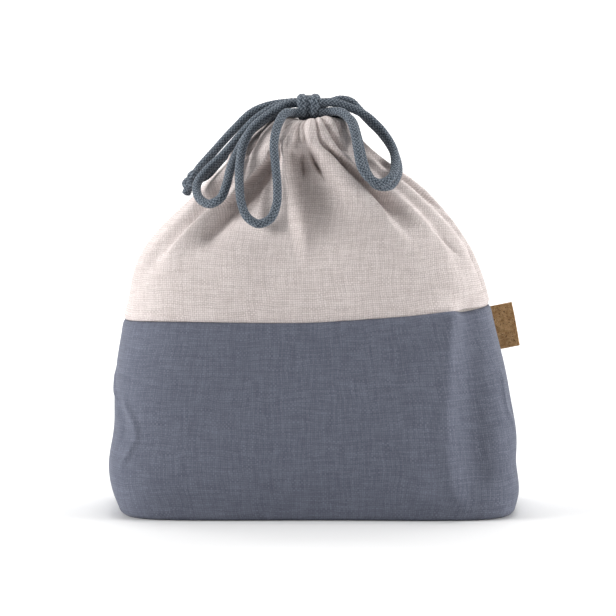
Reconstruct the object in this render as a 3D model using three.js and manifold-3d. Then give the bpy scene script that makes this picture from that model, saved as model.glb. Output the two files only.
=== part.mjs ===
// A drawstring lunch bag of two cloths, standing closed with its strings tied in a bow.
// Millimetres, +Z up. The front faces -Y and the origin lies under the middle of the flat base.

import * as THREE from 'three';
import { mergeVertices } from 'three/addons/utils/BufferGeometryUtils.js';
import Module from 'manifold-3d';

const wasm = await Module();
wasm.setup();

// Outline of the bag at the levels that shape it, each level a rise above the one below
const BASE_WIDTH = 196;
const BASE_DEPTH = 98;
const BELLY_RISE = 30;
const BELLY_WIDTH = 212.6;
const BELLY_DEPTH = 108;
const BAND_RISE = 71;
const BAND_WIDTH = 190;
const BAND_DEPTH = 103;
const SHOULDER_RISE = 28;
const SHOULDER_WIDTH = 175.6;
const SHOULDER_DEPTH = 92;
const SLOPE_RISE = 36;
const SLOPE_WIDTH = 117;
const SLOPE_DEPTH = 69;
const NECK_RISE = 21;
const NECK_WIDTH = 68;
const NECK_DEPTH = 56;
const CASING_RISE = 15;
const RIM_WIDTH = 35;
const RIM_DEPTH = 39;

// How square the outline is at each level: 2 is an ellipse, more is boxier
const BASE_SQUARENESS = 6;
const BELLY_SQUARENESS = 4.4;
const BAND_SQUARENESS = 3;
const SHOULDER_SQUARENESS = 2.6;
const SLOPE_SQUARENESS = 2.2;
const NECK_SQUARENESS = 2;

// The cloth slumps to the left by this much; the band seam climbs to the right and sags between the side seams
const BELLY_LEAN = -0.8;
const BAND_LEAN = -2.7;
const SHOULDER_LEAN = -4;
const SLOPE_LEAN = -1.5;
const NECK_LEAN = -4;
const RIM_LEAN = -1;
const BAND_TILT = 3.4;
const BAND_SAG = 3;
const BAND_SAG_CURVE = 1.5;
const BAND_SAG_MIDDLE = 0.2;

// Cloth, seams and gathers
const CLOTH = 1;
const BASE_CLOTH = 1.2;
const BASE_EDGE = 1.5;
const SEAM_GAP = 0.4;
const BINDING_WIDTH = 8;
const BINDING_THICKNESS = 0.8;
const BINDING_GAP = 0.7;
const BASE_BINDING_HEIGHT = 6;
const PLEATS_PER_SIDE = 9;
const PLEAT_DEPTH = 1.4;

// Main folds of the upper cloth, in turn from the right seam to the left one. Each is a ridge or a valley,
// with its share of the way round at the neck, the slope and the shoulder, and its lift out of the smooth dome
const fold = (neck, slope, shoulder, lift) => ({ neck, slope, shoulder, lift });
const FRONT_FOLDS = [
  fold(0, 0, 0, 0),
  fold(0.09, 0.06, 0.05, 1.4),
  fold(0.13, 0.085, 0.068, -3),
  fold(0.2, 0.125, 0.1, 0.6),
  fold(0.25, 0.175, 0.14, -5),
  fold(0.335, 0.215, 0.17, 0.6),
  fold(0.378, 0.283, 0.195, -10.5),
  fold(0.41, 0.313, 0.222, 1),
  fold(0.555, 0.53, 0.49, -12),
  fold(0.63, 0.587, 0.53, 0.5),
  fold(0.72, 0.72, 0.785, -11.5),
  fold(0.785, 0.764, 0.83, 1),
  fold(0.876, 0.835, 0.868, -5),
  fold(0.93, 0.91, 0.915, 1),
  fold(1, 1, 1, 0.6),
];
const BACK_FOLDS = [
  fold(0, 0, 0, 0),
  fold(0.09, 0.075, 0.07, 1),
  fold(0.17, 0.145, 0.125, -6),
  fold(0.255, 0.225, 0.185, 1),
  fold(0.3, 0.275, 0.24, -11),
  fold(0.41, 0.385, 0.35, 0.5),
  fold(0.515, 0.5, 0.47, -10),
  fold(0.6, 0.615, 0.62, 0.6),
  fold(0.7, 0.715, 0.735, -11),
  fold(0.78, 0.795, 0.83, 1),
  fold(0.86, 0.87, 0.89, -5),
  fold(0.93, 0.93, 0.94, 0.6),
  fold(1, 1, 1, 0.6),
];
const FOLD_FOOT_RISE = 11;
const FOLD_FULL_RISE = 66;
const FOLD_NECK_SHARE = 0.5;

// Drawstrings and the casing that they run in
const CORD_DIAMETER = 4.5;
const CORD_CLEARANCE = 0.4;
const EXIT_EASE = 1.4;
const TUNNEL_WIDTH = 8;
const LEAD_GAP = 0.8;
const LEAD_REACH = 4.6;
const LEAD_TURN_IN = 9;
const RIGHT_LEAD_END_DROP = 1;

// Bow knot and the stopper knots on the string ends
const KNOT_X = -1.5;
const KNOT_Y = -1.3;
const KNOT_LIFT = 6.6;
const KNOT_LENGTH = 13.4;
const KNOT_DEPTH = 20;
const KNOT_HEIGHT = 10.6;
const WRAP_HEIGHT = 14.2;
const WRAP_SPACING = 5.2;
const STOPPER_RADIUS = 5.4;
const STOPPER_DEPTH_RATIO = 1.15;
const STOPPER_END_LENGTH = 8;

// Folded cork label in the right side seam
const LABEL_HEIGHT = 23;
const LABEL_REACH = 9;
const LABEL_THICKNESS = 2;
const LABEL_DROP = 7.2;
const LABEL_TILT = THREE.MathUtils.degToRad(11.5);

// Fineness of the meshes
const COLUMNS = 36;
const LOWER_ROWS = 8;
const UPPER_ROWS = 9;
const CORD_SIDES = 8;
const MEASURING_STEPS = 288;

const FRONT = -1;
const BACK = 1;
const LEFT = -1;
const RIGHT = 1;

const BELLY_HEIGHT = BELLY_RISE;
const BAND_HEIGHT = BELLY_HEIGHT + BAND_RISE;
const SHOULDER_HEIGHT = BAND_HEIGHT + SHOULDER_RISE;
const SLOPE_HEIGHT = SHOULDER_HEIGHT + SLOPE_RISE;
const NECK_HEIGHT = SLOPE_HEIGHT + NECK_RISE;
const RIM_HEIGHT = NECK_HEIGHT + CASING_RISE;

const level = (height, width, depth, squareness, lean) => ({ height, width, depth, squareness, lean });
const LEVELS = [
  level(0, BASE_WIDTH, BASE_DEPTH, BASE_SQUARENESS, 0),
  level(BELLY_HEIGHT, BELLY_WIDTH, BELLY_DEPTH, BELLY_SQUARENESS, BELLY_LEAN),
  level(BAND_HEIGHT, BAND_WIDTH, BAND_DEPTH, BAND_SQUARENESS, BAND_LEAN),
  level(SHOULDER_HEIGHT, SHOULDER_WIDTH, SHOULDER_DEPTH, SHOULDER_SQUARENESS, SHOULDER_LEAN),
  level(SLOPE_HEIGHT, SLOPE_WIDTH, SLOPE_DEPTH, SLOPE_SQUARENESS, SLOPE_LEAN),
  level(NECK_HEIGHT, NECK_WIDTH, NECK_DEPTH, NECK_SQUARENESS, NECK_LEAN),
  level(RIM_HEIGHT, RIM_WIDTH, RIM_DEPTH, NECK_SQUARENESS, RIM_LEAN),
];

const CORD_RADIUS = CORD_DIAMETER / 2;
const TUNNEL_INSET = PLEAT_DEPTH + CLOTH;
const TUNNEL_MIDDLE = TUNNEL_INSET + TUNNEL_WIDTH / 2;
const TUNNEL_BACK = TUNNEL_INSET + TUNNEL_WIDTH;
const LEAD_OFFSET = CORD_RADIUS + LEAD_GAP;
const EXIT_HALF_GAP = LEAD_OFFSET + CORD_RADIUS + EXIT_EASE;
const STRING_MARGIN = CLOTH + CORD_RADIUS + CORD_CLEARANCE;
const LEFT_STRING_HEIGHT = RIM_HEIGHT - STRING_MARGIN;
const RIGHT_STRING_HEIGHT = NECK_HEIGHT + STRING_MARGIN;

// Centre lines of the bow's strands, measured from the middle of the rim
const LEFT_LONG_LOOP = [
  [-8.8, -5.0, 9.0], [-11.6, -5.2, 8.9], [-16.0, -6.6, 7.7], [-24.0, -10.8, 3.0], [-32.2, -15.2, -4.0],
  [-36.6, -20.8, -12.6], [-38.2, -27.0, -21.8], [-38.2, -33.6, -31.7], [-37.2, -38.0, -40.6],
  [-34.2, -41.2, -47.6], [-28.6, -42.8, -51.0], [-22.6, -42.6, -48.6], [-19.4, -40.4, -41.6],
  [-19.0, -37.0, -32.6], [-20.0, -33.0, -21.7], [-20.8, -28.2, -11.6], [-19.0, -20.8, -2.2],
  [-15.2, -13.2, 3.9], [-11.6, -9.4, 4.2], [-8.8, -8.8, 4.1],
];
const LEFT_SHORT_LOOP = [
  [-8.8, 0.4, 9.2], [-11.6, 0.4, 9.1], [-16.5, 0.2, 8.2], [-23.2, -0.4, 5.6], [-30.9, -1.8, 0.4],
  [-38.9, -4.0, -8.1], [-47.6, -7.0, -17.8], [-55.6, -11.0, -25.4], [-60.4, -16.8, -32.4],
  [-58.9, -24.4, -39.0], [-53.4, -30.6, -41.6], [-47.8, -32.8, -38.6], [-45.0, -29.8, -32.2],
  [-43.0, -23.4, -24.0], [-39.8, -16.4, -16.2], [-33.4, -9.8, -5.8], [-24.4, -5.4, 1.4], [-16.0, -3.6, 3.2],
  [-11.6, -3.3, 3.6], [-8.8, -3.2, 3.6],
];
const RIGHT_FRONT_LOOP = [
  [5.9, -8.6, 4.6], [8.6, -9.2, 4.8], [13.2, -13.4, 4.6], [17.8, -20.2, 0.8], [20.2, -26.4, -6.0],
  [21.6, -32.0, -14.2], [23.4, -36.6, -22.6], [27.2, -38.8, -28.2], [32.9, -38.2, -30.8],
  [38.4, -35.0, -28.2], [40.8, -25.6, -21.8], [39.6, -15.8, -13.4], [34.0, -9.8, -4.6], [26.2, -7.8, 2.6],
  [18.0, -7.4, 6.8], [11.0, -7.8, 9.0], [8.6, -8.0, 9.4], [5.9, -8.0, 9.5],
];
const RIGHT_BACK_LOOP = [
  [5.9, -2.8, 9.2], [8.6, -2.6, 9.6], [13.0, -2.0, 10.8], [18.6, -1.6, 9.6], [22.6, -1.5, 5.6],
  [27.4, -1.8, 0.4], [34.0, -2.8, -6.2], [39.6, -5.0, -14.0], [42.4, -11.8, -22.0], [41.6, -22.4, -28.4],
  [37.4, -30.6, -32.6], [31.2, -33.2, -32.0], [26.2, -31.8, -25.6], [23.6, -27.2, -16.8],
  [21.6, -20.4, -7.8], [19.0, -13.4, -0.2], [14.5, -7.6, 2.9], [8.6, -3.2, 3.8], [5.9, -2.8, 3.8],
];
const LEFT_UPPER_TAIL = [
  [-8.8, 5.9, 9.4], [-12.0, 5.9, 9.3], [-23.3, 6.0, 7.8], [-32.6, 6.0, 4.1], [-42.5, 6.0, -5.2],
  [-52.9, 6.0, -16.6], [-60.6, 5.6, -25.4],
];
const LEFT_LOWER_TAIL = [
  [-8.8, 5.9, 4.2], [-12.0, 6.2, 4.0], [-22.0, 7.5, 2.8], [-30.5, 8.2, -1.0], [-39.8, 8.4, -10.4],
  [-49.4, 8.6, -21.1], [-57.5, 9.0, -29.4],
];
const RIGHT_OUTER_TAIL = [
  [5.9, 3.9, 9.2], [9.4, 4.5, 9.6], [13.6, 11.0, 9.4], [16.4, 21.0, 2.6], [20.8, 29.0, -9.6],
  [26.2, 35.0, -22.6], [29.5, 38.0, -30.2],
];
const RIGHT_INNER_TAIL = [
  [5.9, 3.9, 3.9], [9.0, 4.6, 4.1], [11.6, 12.0, 4.6], [10.6, 22.8, 1.4], [13.4, 31.0, -11.0],
  [19.2, 36.6, -24.3], [23.8, 39.0, -31.5],
];
const LEFT_STOPPER = [-63.8, 6.9, -30.8];
const LEFT_STOPPER_END = [-0.45, 0, -1];
const RIGHT_STOPPER = [29.6, 41.8, -36.0];
const RIGHT_STOPPER_END = [0.5, 0.35, -1];
const LOOP_STEPS = 13;
const TAIL_STEPS = 5;
const STRING_STEPS = 18;
const TUNNEL_POINTS = 10;

// A value that runs smoothly through the levels without overshooting any of them
function levelValue(key, height) {
  const slope = (i) => (LEVELS[i + 1][key] - LEVELS[i][key]) / (LEVELS[i + 1].height - LEVELS[i].height);
  const last = LEVELS.length - 1;
  const tangent = (i) => {
    const below = slope(Math.max(i - 1, 0));
    const above = slope(Math.min(i, last - 1));
    return below * above <= 0 ? 0 : (2 * below * above) / (below + above);
  };
  let i = 0;
  while (i < last - 1 && height > LEVELS[i + 1].height) {
    i += 1;
  }
  const span = LEVELS[i + 1].height - LEVELS[i].height;
  const t = (height - LEVELS[i].height) / span;
  const u = 1 - t;
  const ends = (1 + 2 * t) * u * u * LEVELS[i][key] + (3 - 2 * t) * t * t * LEVELS[i + 1][key];
  return ends + t * u * span * (u * tangent(i) - t * tangent(i + 1));
}

// A point of the front or back wall: turn runs from 0 at the right seam to PI at the left one
function wallPoint(side, turn, height, inset) {
  const power = 2 / levelValue('squareness', height);
  const across = Math.cos(turn);
  const halfWidth = levelValue('width', height) / 2 - inset;
  const halfDepth = levelValue('depth', height) / 2 - inset;
  const x = levelValue('lean', height) + halfWidth * Math.sign(across) * Math.abs(across) ** power;
  const y = halfDepth * Math.abs(Math.sin(turn)) ** power;
  return new THREE.Vector3(x, side * Math.max(y, SEAM_GAP / 2), height);
}

// Height of the seam between the two cloths
function bandHeight(turn) {
  const across = Math.sign(Math.cos(turn)) * Math.abs(Math.cos(turn)) ** (2 / BAND_SQUARENESS);
  return BAND_HEIGHT + BAND_TILT * across + BAND_SAG * (Math.abs(across) ** BAND_SAG_CURVE - BAND_SAG_MIDDLE);
}

// Angle at which a share of the way from the right seam to the left one is reached at a level
function turnAt(share, height) {
  const step = Math.PI / MEASURING_STEPS;
  const reach = [0];
  for (let i = 1; i <= MEASURING_STEPS; i += 1) {
    const from = wallPoint(FRONT, (i - 1) * step, height, 0);
    const to = wallPoint(FRONT, i * step, height, 0);
    reach.push(reach[i - 1] + from.distanceTo(to));
  }
  const target = share * reach[MEASURING_STEPS];
  const i = Math.max(1, reach.findIndex((length) => length >= target));
  const part = (target - reach[i - 1]) / (reach[i] - reach[i - 1]);
  return (i - 1 + part) * step;
}

// Share of the way round that a fold has at a level, on a smooth line through its three places
function foldShare({ neck, slope, shoulder }, height) {
  const z = Math.max(height, SHOULDER_HEIGHT);
  const weight = (here, one, other) => ((z - one) * (z - other)) / ((here - one) * (here - other));
  return (
    neck * weight(NECK_HEIGHT, SLOPE_HEIGHT, SHOULDER_HEIGHT) +
    slope * weight(SLOPE_HEIGHT, NECK_HEIGHT, SHOULDER_HEIGHT) +
    shoulder * weight(SHOULDER_HEIGHT, NECK_HEIGHT, SLOPE_HEIGHT)
  );
}

// Share of its lift that a fold has at a level: it grows from the band seam up and is drawn in at the neck
function foldStrength(height) {
  const full = BAND_HEIGHT + FOLD_FULL_RISE;
  const grown = THREE.MathUtils.smoothstep(height, BAND_HEIGHT + FOLD_FOOT_RISE, full);
  const gathered = THREE.MathUtils.smoothstep(height, full, NECK_HEIGHT);
  return grown * THREE.MathUtils.lerp(1, FOLD_NECK_SHARE, gathered);
}

// A closed geometry from points and triangles, turned so that its faces point out
function closedGeometry(points, triangles) {
  const volume = triangles.reduce((sum, [a, b, c]) => {
    return sum + points[a].dot(new THREE.Vector3().crossVectors(points[b], points[c]));
  }, 0);
  const turned = volume > 0 ? triangles : triangles.map(([a, b, c]) => [a, c, b]);
  const geometry = new THREE.BufferGeometry().setFromPoints(points);
  geometry.setIndex(turned.flat());
  geometry.computeVertexNormals();
  return geometry;
}

// Two triangles between four corners
function quad(a, b, c, d) {
  return [[a, b, c], [a, c, d]];
}

// A sheet with thickness: pointAt(column, row, layer) gives its outer layer 0 and its inner layer 1
function sheet(columns, rows, pointAt) {
  const points = [];
  for (let layer = 0; layer < 2; layer += 1) {
    for (let column = 0; column <= columns; column += 1) {
      for (let row = 0; row <= rows; row += 1) {
        points.push(pointAt(column / columns, row / rows, layer));
      }
    }
  }
  const at = (column, row, layer) => (layer * (columns + 1) + column) * (rows + 1) + row;
  const triangles = [];
  for (let column = 0; column < columns; column += 1) {
    for (let row = 0; row < rows; row += 1) {
      const [i, j] = [column + 1, row + 1];
      triangles.push(...quad(at(column, row, 0), at(i, row, 0), at(i, j, 0), at(column, j, 0)));
      triangles.push(...quad(at(column, row, 1), at(column, j, 1), at(i, j, 1), at(i, row, 1)));
    }
  }
  for (let column = 0; column < columns; column += 1) {
    const i = column + 1;
    triangles.push(...quad(at(column, 0, 1), at(i, 0, 1), at(i, 0, 0), at(column, 0, 0)));
    triangles.push(...quad(at(column, rows, 0), at(i, rows, 0), at(i, rows, 1), at(column, rows, 1)));
  }
  for (let row = 0; row < rows; row += 1) {
    const j = row + 1;
    triangles.push(...quad(at(0, row, 0), at(0, j, 0), at(0, j, 1), at(0, row, 1)));
    triangles.push(...quad(at(columns, row, 1), at(columns, j, 1), at(columns, j, 0), at(columns, row, 0)));
  }
  return closedGeometry(points, triangles);
}

// A profile carried round a row of stations: a closed ring, or an open run whose bore is the inner loop
function profileRun(loops, closed) {
  const points = loops.flat(2);
  const bores = loops[0].length;
  const corners = loops[0][0].length;
  const at = (station, loop, corner) => (station * bores + loop) * corners + (corner % corners);
  const triangles = [];
  const spans = closed ? loops.length : loops.length - 1;
  for (let station = 0; station < spans; station += 1) {
    const next = (station + 1) % loops.length;
    for (let k = 0; k < corners; k += 1) {
      triangles.push(...quad(at(station, 0, k), at(next, 0, k), at(next, 0, k + 1), at(station, 0, k + 1)));
      if (bores === 1) continue;
      triangles.push(...quad(at(station, 1, k), at(station, 1, k + 1), at(next, 1, k + 1), at(next, 1, k)));
    }
  }
  for (let k = 0; k < corners && !closed; k += 1) {
    const end = loops.length - 1;
    triangles.push(...quad(at(0, 0, k), at(0, 0, k + 1), at(0, 1, k + 1), at(0, 1, k)));
    triangles.push(...quad(at(end, 0, k), at(end, 1, k), at(end, 1, k + 1), at(end, 0, k + 1)));
  }
  return closedGeometry(points, triangles);
}

// A round cord along a smooth line through points
function cord(points, steps) {
  const section = new THREE.Shape();
  section.absarc(0, 0, CORD_RADIUS, 0, 2 * Math.PI);
  const path = new THREE.CatmullRomCurve3(points, false, 'centripetal');
  return new THREE.ExtrudeGeometry(section, { steps, curveSegments: CORD_SIDES / 2, extrudePath: path });
}

// A geometry as a solid that can be joined to another
function solid(geometry) {
  const bare = geometry.clone();
  bare.deleteAttribute('normal');
  bare.deleteAttribute('uv');
  const merged = mergeVertices(bare, CORD_CLEARANCE / 100);
  const vertProperties = new Float32Array(merged.attributes.position.array);
  const triVerts = new Uint32Array(merged.index.array);
  return new wasm.Manifold(new wasm.Mesh({ numProp: 3, vertProperties, triVerts }));
}

// Several overlapping geometries joined into one
function joined(geometries) {
  const mesh = geometries.map(solid).reduce((whole, piece) => whole.add(piece)).getMesh();
  const geometry = new THREE.BufferGeometry();
  geometry.setAttribute('position', new THREE.BufferAttribute(mesh.vertProperties, mesh.numProp));
  geometry.setIndex(new THREE.BufferAttribute(mesh.triVerts, 1));
  geometry.computeVertexNormals();
  return geometry;
}

// Flat base cloth that the bag stands on
function basePanel() {
  const outline = [];
  for (let i = 0; i < 2 * COLUMNS; i += 1) {
    const turn = (Math.PI * i) / COLUMNS;
    const point = wallPoint(i < COLUMNS ? BACK : FRONT, turn, 0, BASE_EDGE);
    outline.push(new THREE.Vector2(point.x, point.y));
  }
  return new THREE.ExtrudeGeometry(new THREE.Shape(outline), { depth: BASE_CLOTH, bevelEnabled: false });
}

// Tape that covers the seam between the base and the walls, all the way round
function baseBinding() {
  const foot = BASE_CLOTH + SEAM_GAP;
  const outer = CLOTH + BINDING_GAP;
  const inner = outer + BINDING_THICKNESS;
  const head = foot + BASE_BINDING_HEIGHT;
  const corners = [[foot, outer], [head, outer], [head, inner], [foot, inner]];
  const loops = [];
  for (let i = 0; i < 2 * COLUMNS; i += 1) {
    const turn = (Math.PI * i) / COLUMNS;
    const side = i < COLUMNS ? BACK : FRONT;
    loops.push([corners.map(([height, inset]) => wallPoint(side, turn, height, inset))]);
  }
  return profileRun(loops, true);
}

// Coloured lower cloth of one side, from the base to the band seam
function lowerPanel(side) {
  const foot = BASE_CLOTH + SEAM_GAP;
  return sheet(COLUMNS, LOWER_ROWS, (u, v, layer) => {
    const turn = Math.PI * u;
    const height = THREE.MathUtils.lerp(foot, bandHeight(turn) - SEAM_GAP / 2, v);
    return wallPoint(side, turn, height, layer * CLOTH);
  });
}

// Natural upper cloth of one side, with two columns of faces between one fold and the next
function upperPanel(side) {
  const folds = side === FRONT ? FRONT_FOLDS : BACK_FOLDS;
  const columns = 2 * (folds.length - 1);
  return sheet(columns, UPPER_ROWS, (u, v, layer) => {
    const place = Math.round(u * columns) / 2;
    const [one, other] = [folds[Math.floor(place)], folds[Math.ceil(place)]];
    const level = THREE.MathUtils.lerp(BAND_HEIGHT, NECK_HEIGHT - SEAM_GAP, v);
    const evenShare = place / (folds.length - 1);
    const foldedShare = (foldShare(one, level) + foldShare(other, level)) / 2;
    const folded = THREE.MathUtils.smoothstep(level, BAND_HEIGHT, SHOULDER_HEIGHT);
    const turn = turnAt(THREE.MathUtils.lerp(evenShare, foldedShare, folded), level);
    const height = THREE.MathUtils.lerp(bandHeight(turn) + SEAM_GAP / 2, NECK_HEIGHT - SEAM_GAP, v);
    const lift = (foldStrength(height) * (one.lift + other.lift)) / 2;
    return wallPoint(side, turn, height, layer * CLOTH - lift);
  });
}

// Tape inside the band seam of one side
function bandBinding(side) {
  const clear = Math.PI / COLUMNS;
  return sheet(COLUMNS, 1, (u, v, layer) => {
    const turn = THREE.MathUtils.lerp(clear, Math.PI - clear, u);
    const height = bandHeight(turn) + BINDING_WIDTH * (v - 1 / 2);
    return wallPoint(side, turn, height, CLOTH + BINDING_GAP + layer * BINDING_THICKNESS);
  });
}

// Tape inside a side seam, from above the base binding to the shoulder
function sideBinding(end) {
  const foot = BASE_CLOTH + BASE_BINDING_HEIGHT + 2 * SEAM_GAP;
  const turn = end === RIGHT ? 0 : Math.PI;
  return sheet(1, LOWER_ROWS, (u, v, layer) => {
    const height = THREE.MathUtils.lerp(foot, SHOULDER_HEIGHT, v);
    const point = wallPoint(FRONT, turn, height, CLOTH + BINDING_GAP + layer * BINDING_THICKNESS);
    return point.setY(BINDING_WIDTH * (u - 1 / 2));
  });
}

// How far the gathers of the casing stand out
function pleat(turn) {
  return PLEAT_DEPTH * Math.cos(2 * PLEATS_PER_SIDE * turn);
}

// A point of the casing, whose walls run straight from its foot to the rim
function casingPoint(side, turn, height, inset) {
  const foot = wallPoint(side, turn, NECK_HEIGHT, inset);
  const rim = wallPoint(side, turn, RIM_HEIGHT, inset);
  return foot.lerp(rim, (height - NECK_HEIGHT) / CASING_RISE);
}

// Angle at which a line round the casing comes to a given distance from the side seam
function turnBeside(seamDistance, height, inset) {
  const depth = THREE.MathUtils.lerp(NECK_DEPTH, RIM_DEPTH, (height - NECK_HEIGHT) / CASING_RISE);
  return Math.asin(seamDistance / (depth / 2 - inset));
}

// Hem of one side, with the tunnel for the two strings, open at both side seams
function casing(side) {
  const loopAt = (u, heights, insets, pleated) => {
    const corners = [[0, 0], [1, 0], [1, 1], [0, 1]];
    return corners.map(([h, i]) => {
      const open = turnBeside(EXIT_HALF_GAP, heights[h], insets[i]);
      const turn = THREE.MathUtils.lerp(open, Math.PI - open, u);
      return casingPoint(side, turn, heights[h], insets[i] - (pleated && i === 0 ? pleat(turn) : 0));
    });
  };
  const outsideHeights = [NECK_HEIGHT, RIM_HEIGHT];
  const tunnelHeights = [NECK_HEIGHT + CLOTH, RIM_HEIGHT - CLOTH];
  const loops = [];
  for (let column = 0; column <= COLUMNS; column += 1) {
    const u = column / COLUMNS;
    const outside = loopAt(u, outsideHeights, [0, TUNNEL_BACK + CLOTH], true);
    const tunnel = loopAt(u, tunnelHeights, [TUNNEL_INSET, TUNNEL_BACK], false);
    loops.push([outside, tunnel]);
  }
  return profileRun(loops, false);
}

// Half of a drawstring: round one side in the tunnel, then out of its slit to the underside of the knot
function stringRun(side, exit, height, leadEnd) {
  const points = [];
  const start = turnBeside(LEAD_GAP, height, TUNNEL_MIDDLE);
  const end = Math.PI - turnBeside(LEAD_OFFSET + LEAD_GAP, height, TUNNEL_MIDDLE);
  for (let i = 0; i <= TUNNEL_POINTS; i += 1) {
    const swing = THREE.MathUtils.lerp(start, end, i / TUNNEL_POINTS);
    const turn = exit === LEFT ? swing : Math.PI - swing;
    points.push(casingPoint(side, turn, height, TUNNEL_MIDDLE));
  }
  points.push(new THREE.Vector3(exit * LEAD_TURN_IN, side * LEAD_OFFSET, height));
  points.push(...leadEnd.map(([x, z]) => new THREE.Vector3(exit * x, side * LEAD_OFFSET, z)));
  return cord(points, STRING_STEPS);
}

// Knot of the bow: the bundle of strands with two wraps round it
function bowKnot() {
  const core = new THREE.CylinderGeometry(1 / 2, 1 / 2, KNOT_LENGTH, 2 * CORD_SIDES);
  core.rotateZ(Math.PI / 2);
  core.scale(1, KNOT_HEIGHT, KNOT_DEPTH);
  core.rotateX(Math.PI / 2);
  const wraps = [LEFT, RIGHT].map((end) => {
    const radius = (WRAP_HEIGHT - CORD_DIAMETER) / 2;
    const wrap = new THREE.TorusGeometry(radius, CORD_RADIUS, CORD_SIDES, 2 * CORD_SIDES);
    wrap.rotateY(Math.PI / 2);
    wrap.scale(1, KNOT_DEPTH / WRAP_HEIGHT, 1);
    wrap.translate((end * WRAP_SPACING) / 2, 0, 0);
    return wrap;
  });
  const knot = joined([core, ...wraps]);
  knot.translate(KNOT_X, KNOT_Y, KNOT_LIFT);
  return knot;
}

// Knot that stops a pair of string ends, with the two ends standing out of it
function stopperKnot(endDirection) {
  const ball = new THREE.SphereGeometry(STOPPER_RADIUS, 2 * CORD_SIDES, CORD_SIDES);
  ball.scale(1, STOPPER_DEPTH_RATIO, 1);
  const direction = new THREE.Vector3(...endDirection).normalize();
  const ends = [FRONT, BACK].map((side) => {
    const foot = new THREE.Vector3(0, side * LEAD_OFFSET, 0);
    return cord([foot, foot.clone().addScaledVector(direction, STOPPER_END_LENGTH)], 1);
  });
  return joined([ball, ...ends]);
}

// Cork strip folded round, its root rounded so that it can swing at the seam
function corkLabel() {
  const half = LABEL_THICKNESS / 2;
  const outline = new THREE.Shape();
  outline.absarc(0, 0, half, Math.PI / 2, (3 * Math.PI) / 2);
  outline.absarc(LABEL_REACH, 0, half, -Math.PI / 2, Math.PI / 2);
  const options = { depth: LABEL_HEIGHT, bevelEnabled: false, curveSegments: CORD_SIDES };
  const label = new THREE.ExtrudeGeometry(outline, options);
  label.translate(0, 0, -LABEL_HEIGHT / 2);
  return label;
}

// A matte named piece
function piece(name, geometry, color, roughness) {
  const material = new THREE.MeshStandardMaterial({ color, roughness, metalness: 0 });
  const mesh = new THREE.Mesh(geometry, material);
  mesh.name = name;
  return mesh;
}

const BLUE = '#616473';
const LINEN = '#ccc3bf';
const CORD = '#606467';
const CORK = '#a18f79';
const CLOTH_ROUGHNESS = 0.95;
const CORD_ROUGHNESS = 0.85;
const CORK_ROUGHNESS = 0.8;

const cloth = (name, geometry, color) => piece(name, geometry, color, CLOTH_ROUGHNESS);
const string = (name, geometry) => piece(name, geometry, CORD, CORD_ROUGHNESS);
const strand = (name, route, steps) => {
  return string(name, cord(route.map((point) => new THREE.Vector3(...point)), steps));
};

const walls = new THREE.Group();
walls.add(
  cloth('base_panel', basePanel(), BLUE),
  cloth('base_seam_binding', baseBinding(), BLUE),
  cloth('front_lower_panel', lowerPanel(FRONT), BLUE),
  cloth('back_lower_panel', lowerPanel(BACK), BLUE),
  cloth('front_upper_panel', upperPanel(FRONT), LINEN),
  cloth('back_upper_panel', upperPanel(BACK), LINEN),
  cloth('front_band_binding', bandBinding(FRONT), LINEN),
  cloth('back_band_binding', bandBinding(BACK), LINEN),
  cloth('left_seam_binding', sideBinding(LEFT), LINEN),
  cloth('right_seam_binding', sideBinding(RIGHT), LINEN),
  cloth('front_casing', casing(FRONT), LINEN),
  cloth('back_casing', casing(BACK), LINEN),
);

const leftLead = [[LEAD_REACH, LEFT_STRING_HEIGHT]];
const rightLead = [
  [LEAD_REACH, (RIGHT_STRING_HEIGHT + RIM_HEIGHT) / 2],
  [LEAD_REACH, RIM_HEIGHT - RIGHT_LEAD_END_DROP],
];
const strings = new THREE.Group();
strings.add(
  string('left_string_front', stringRun(FRONT, LEFT, LEFT_STRING_HEIGHT, leftLead)),
  string('left_string_back', stringRun(BACK, LEFT, LEFT_STRING_HEIGHT, leftLead)),
  string('right_string_front', stringRun(FRONT, RIGHT, RIGHT_STRING_HEIGHT, rightLead)),
  string('right_string_back', stringRun(BACK, RIGHT, RIGHT_STRING_HEIGHT, rightLead)),
);

const leftStopper = string('left_stopper_knot', stopperKnot(LEFT_STOPPER_END));
leftStopper.position.set(...LEFT_STOPPER);
const rightStopper = string('right_stopper_knot', stopperKnot(RIGHT_STOPPER_END));
rightStopper.position.set(...RIGHT_STOPPER);

const bow = new THREE.Group();
bow.position.z = RIM_HEIGHT;
bow.add(
  string('bow_knot', bowKnot()),
  strand('left_loop_long', LEFT_LONG_LOOP, LOOP_STEPS),
  strand('left_loop_short', LEFT_SHORT_LOOP, LOOP_STEPS),
  strand('right_loop_front', RIGHT_FRONT_LOOP, LOOP_STEPS),
  strand('right_loop_back', RIGHT_BACK_LOOP, LOOP_STEPS),
  strand('left_tail_upper', LEFT_UPPER_TAIL, TAIL_STEPS),
  strand('left_tail_lower', LEFT_LOWER_TAIL, TAIL_STEPS),
  strand('right_tail_outer', RIGHT_OUTER_TAIL, TAIL_STEPS),
  strand('right_tail_inner', RIGHT_INNER_TAIL, TAIL_STEPS),
  leftStopper,
  rightStopper,
);

const labelHeight = BAND_HEIGHT - LABEL_DROP;
const seam = wallPoint(FRONT, 0, labelHeight, 0);
const label = piece('cork_label', corkLabel(), CORK, CORK_ROUGHNESS);
label.position.set(seam.x + LABEL_THICKNESS / 2 + SEAM_GAP, 0, labelHeight);
label.rotation.y = -LABEL_TILT;

const bag = new THREE.Group();
bag.add(walls, strings, bow, label);

export default bag;
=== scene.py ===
"""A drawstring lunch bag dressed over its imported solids: two cloths, strings, a bow and a cork label.

Metres, +Z up. The front faces -Y, and the origin lies under the middle of the flat base.
"""

from __future__ import annotations

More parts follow.
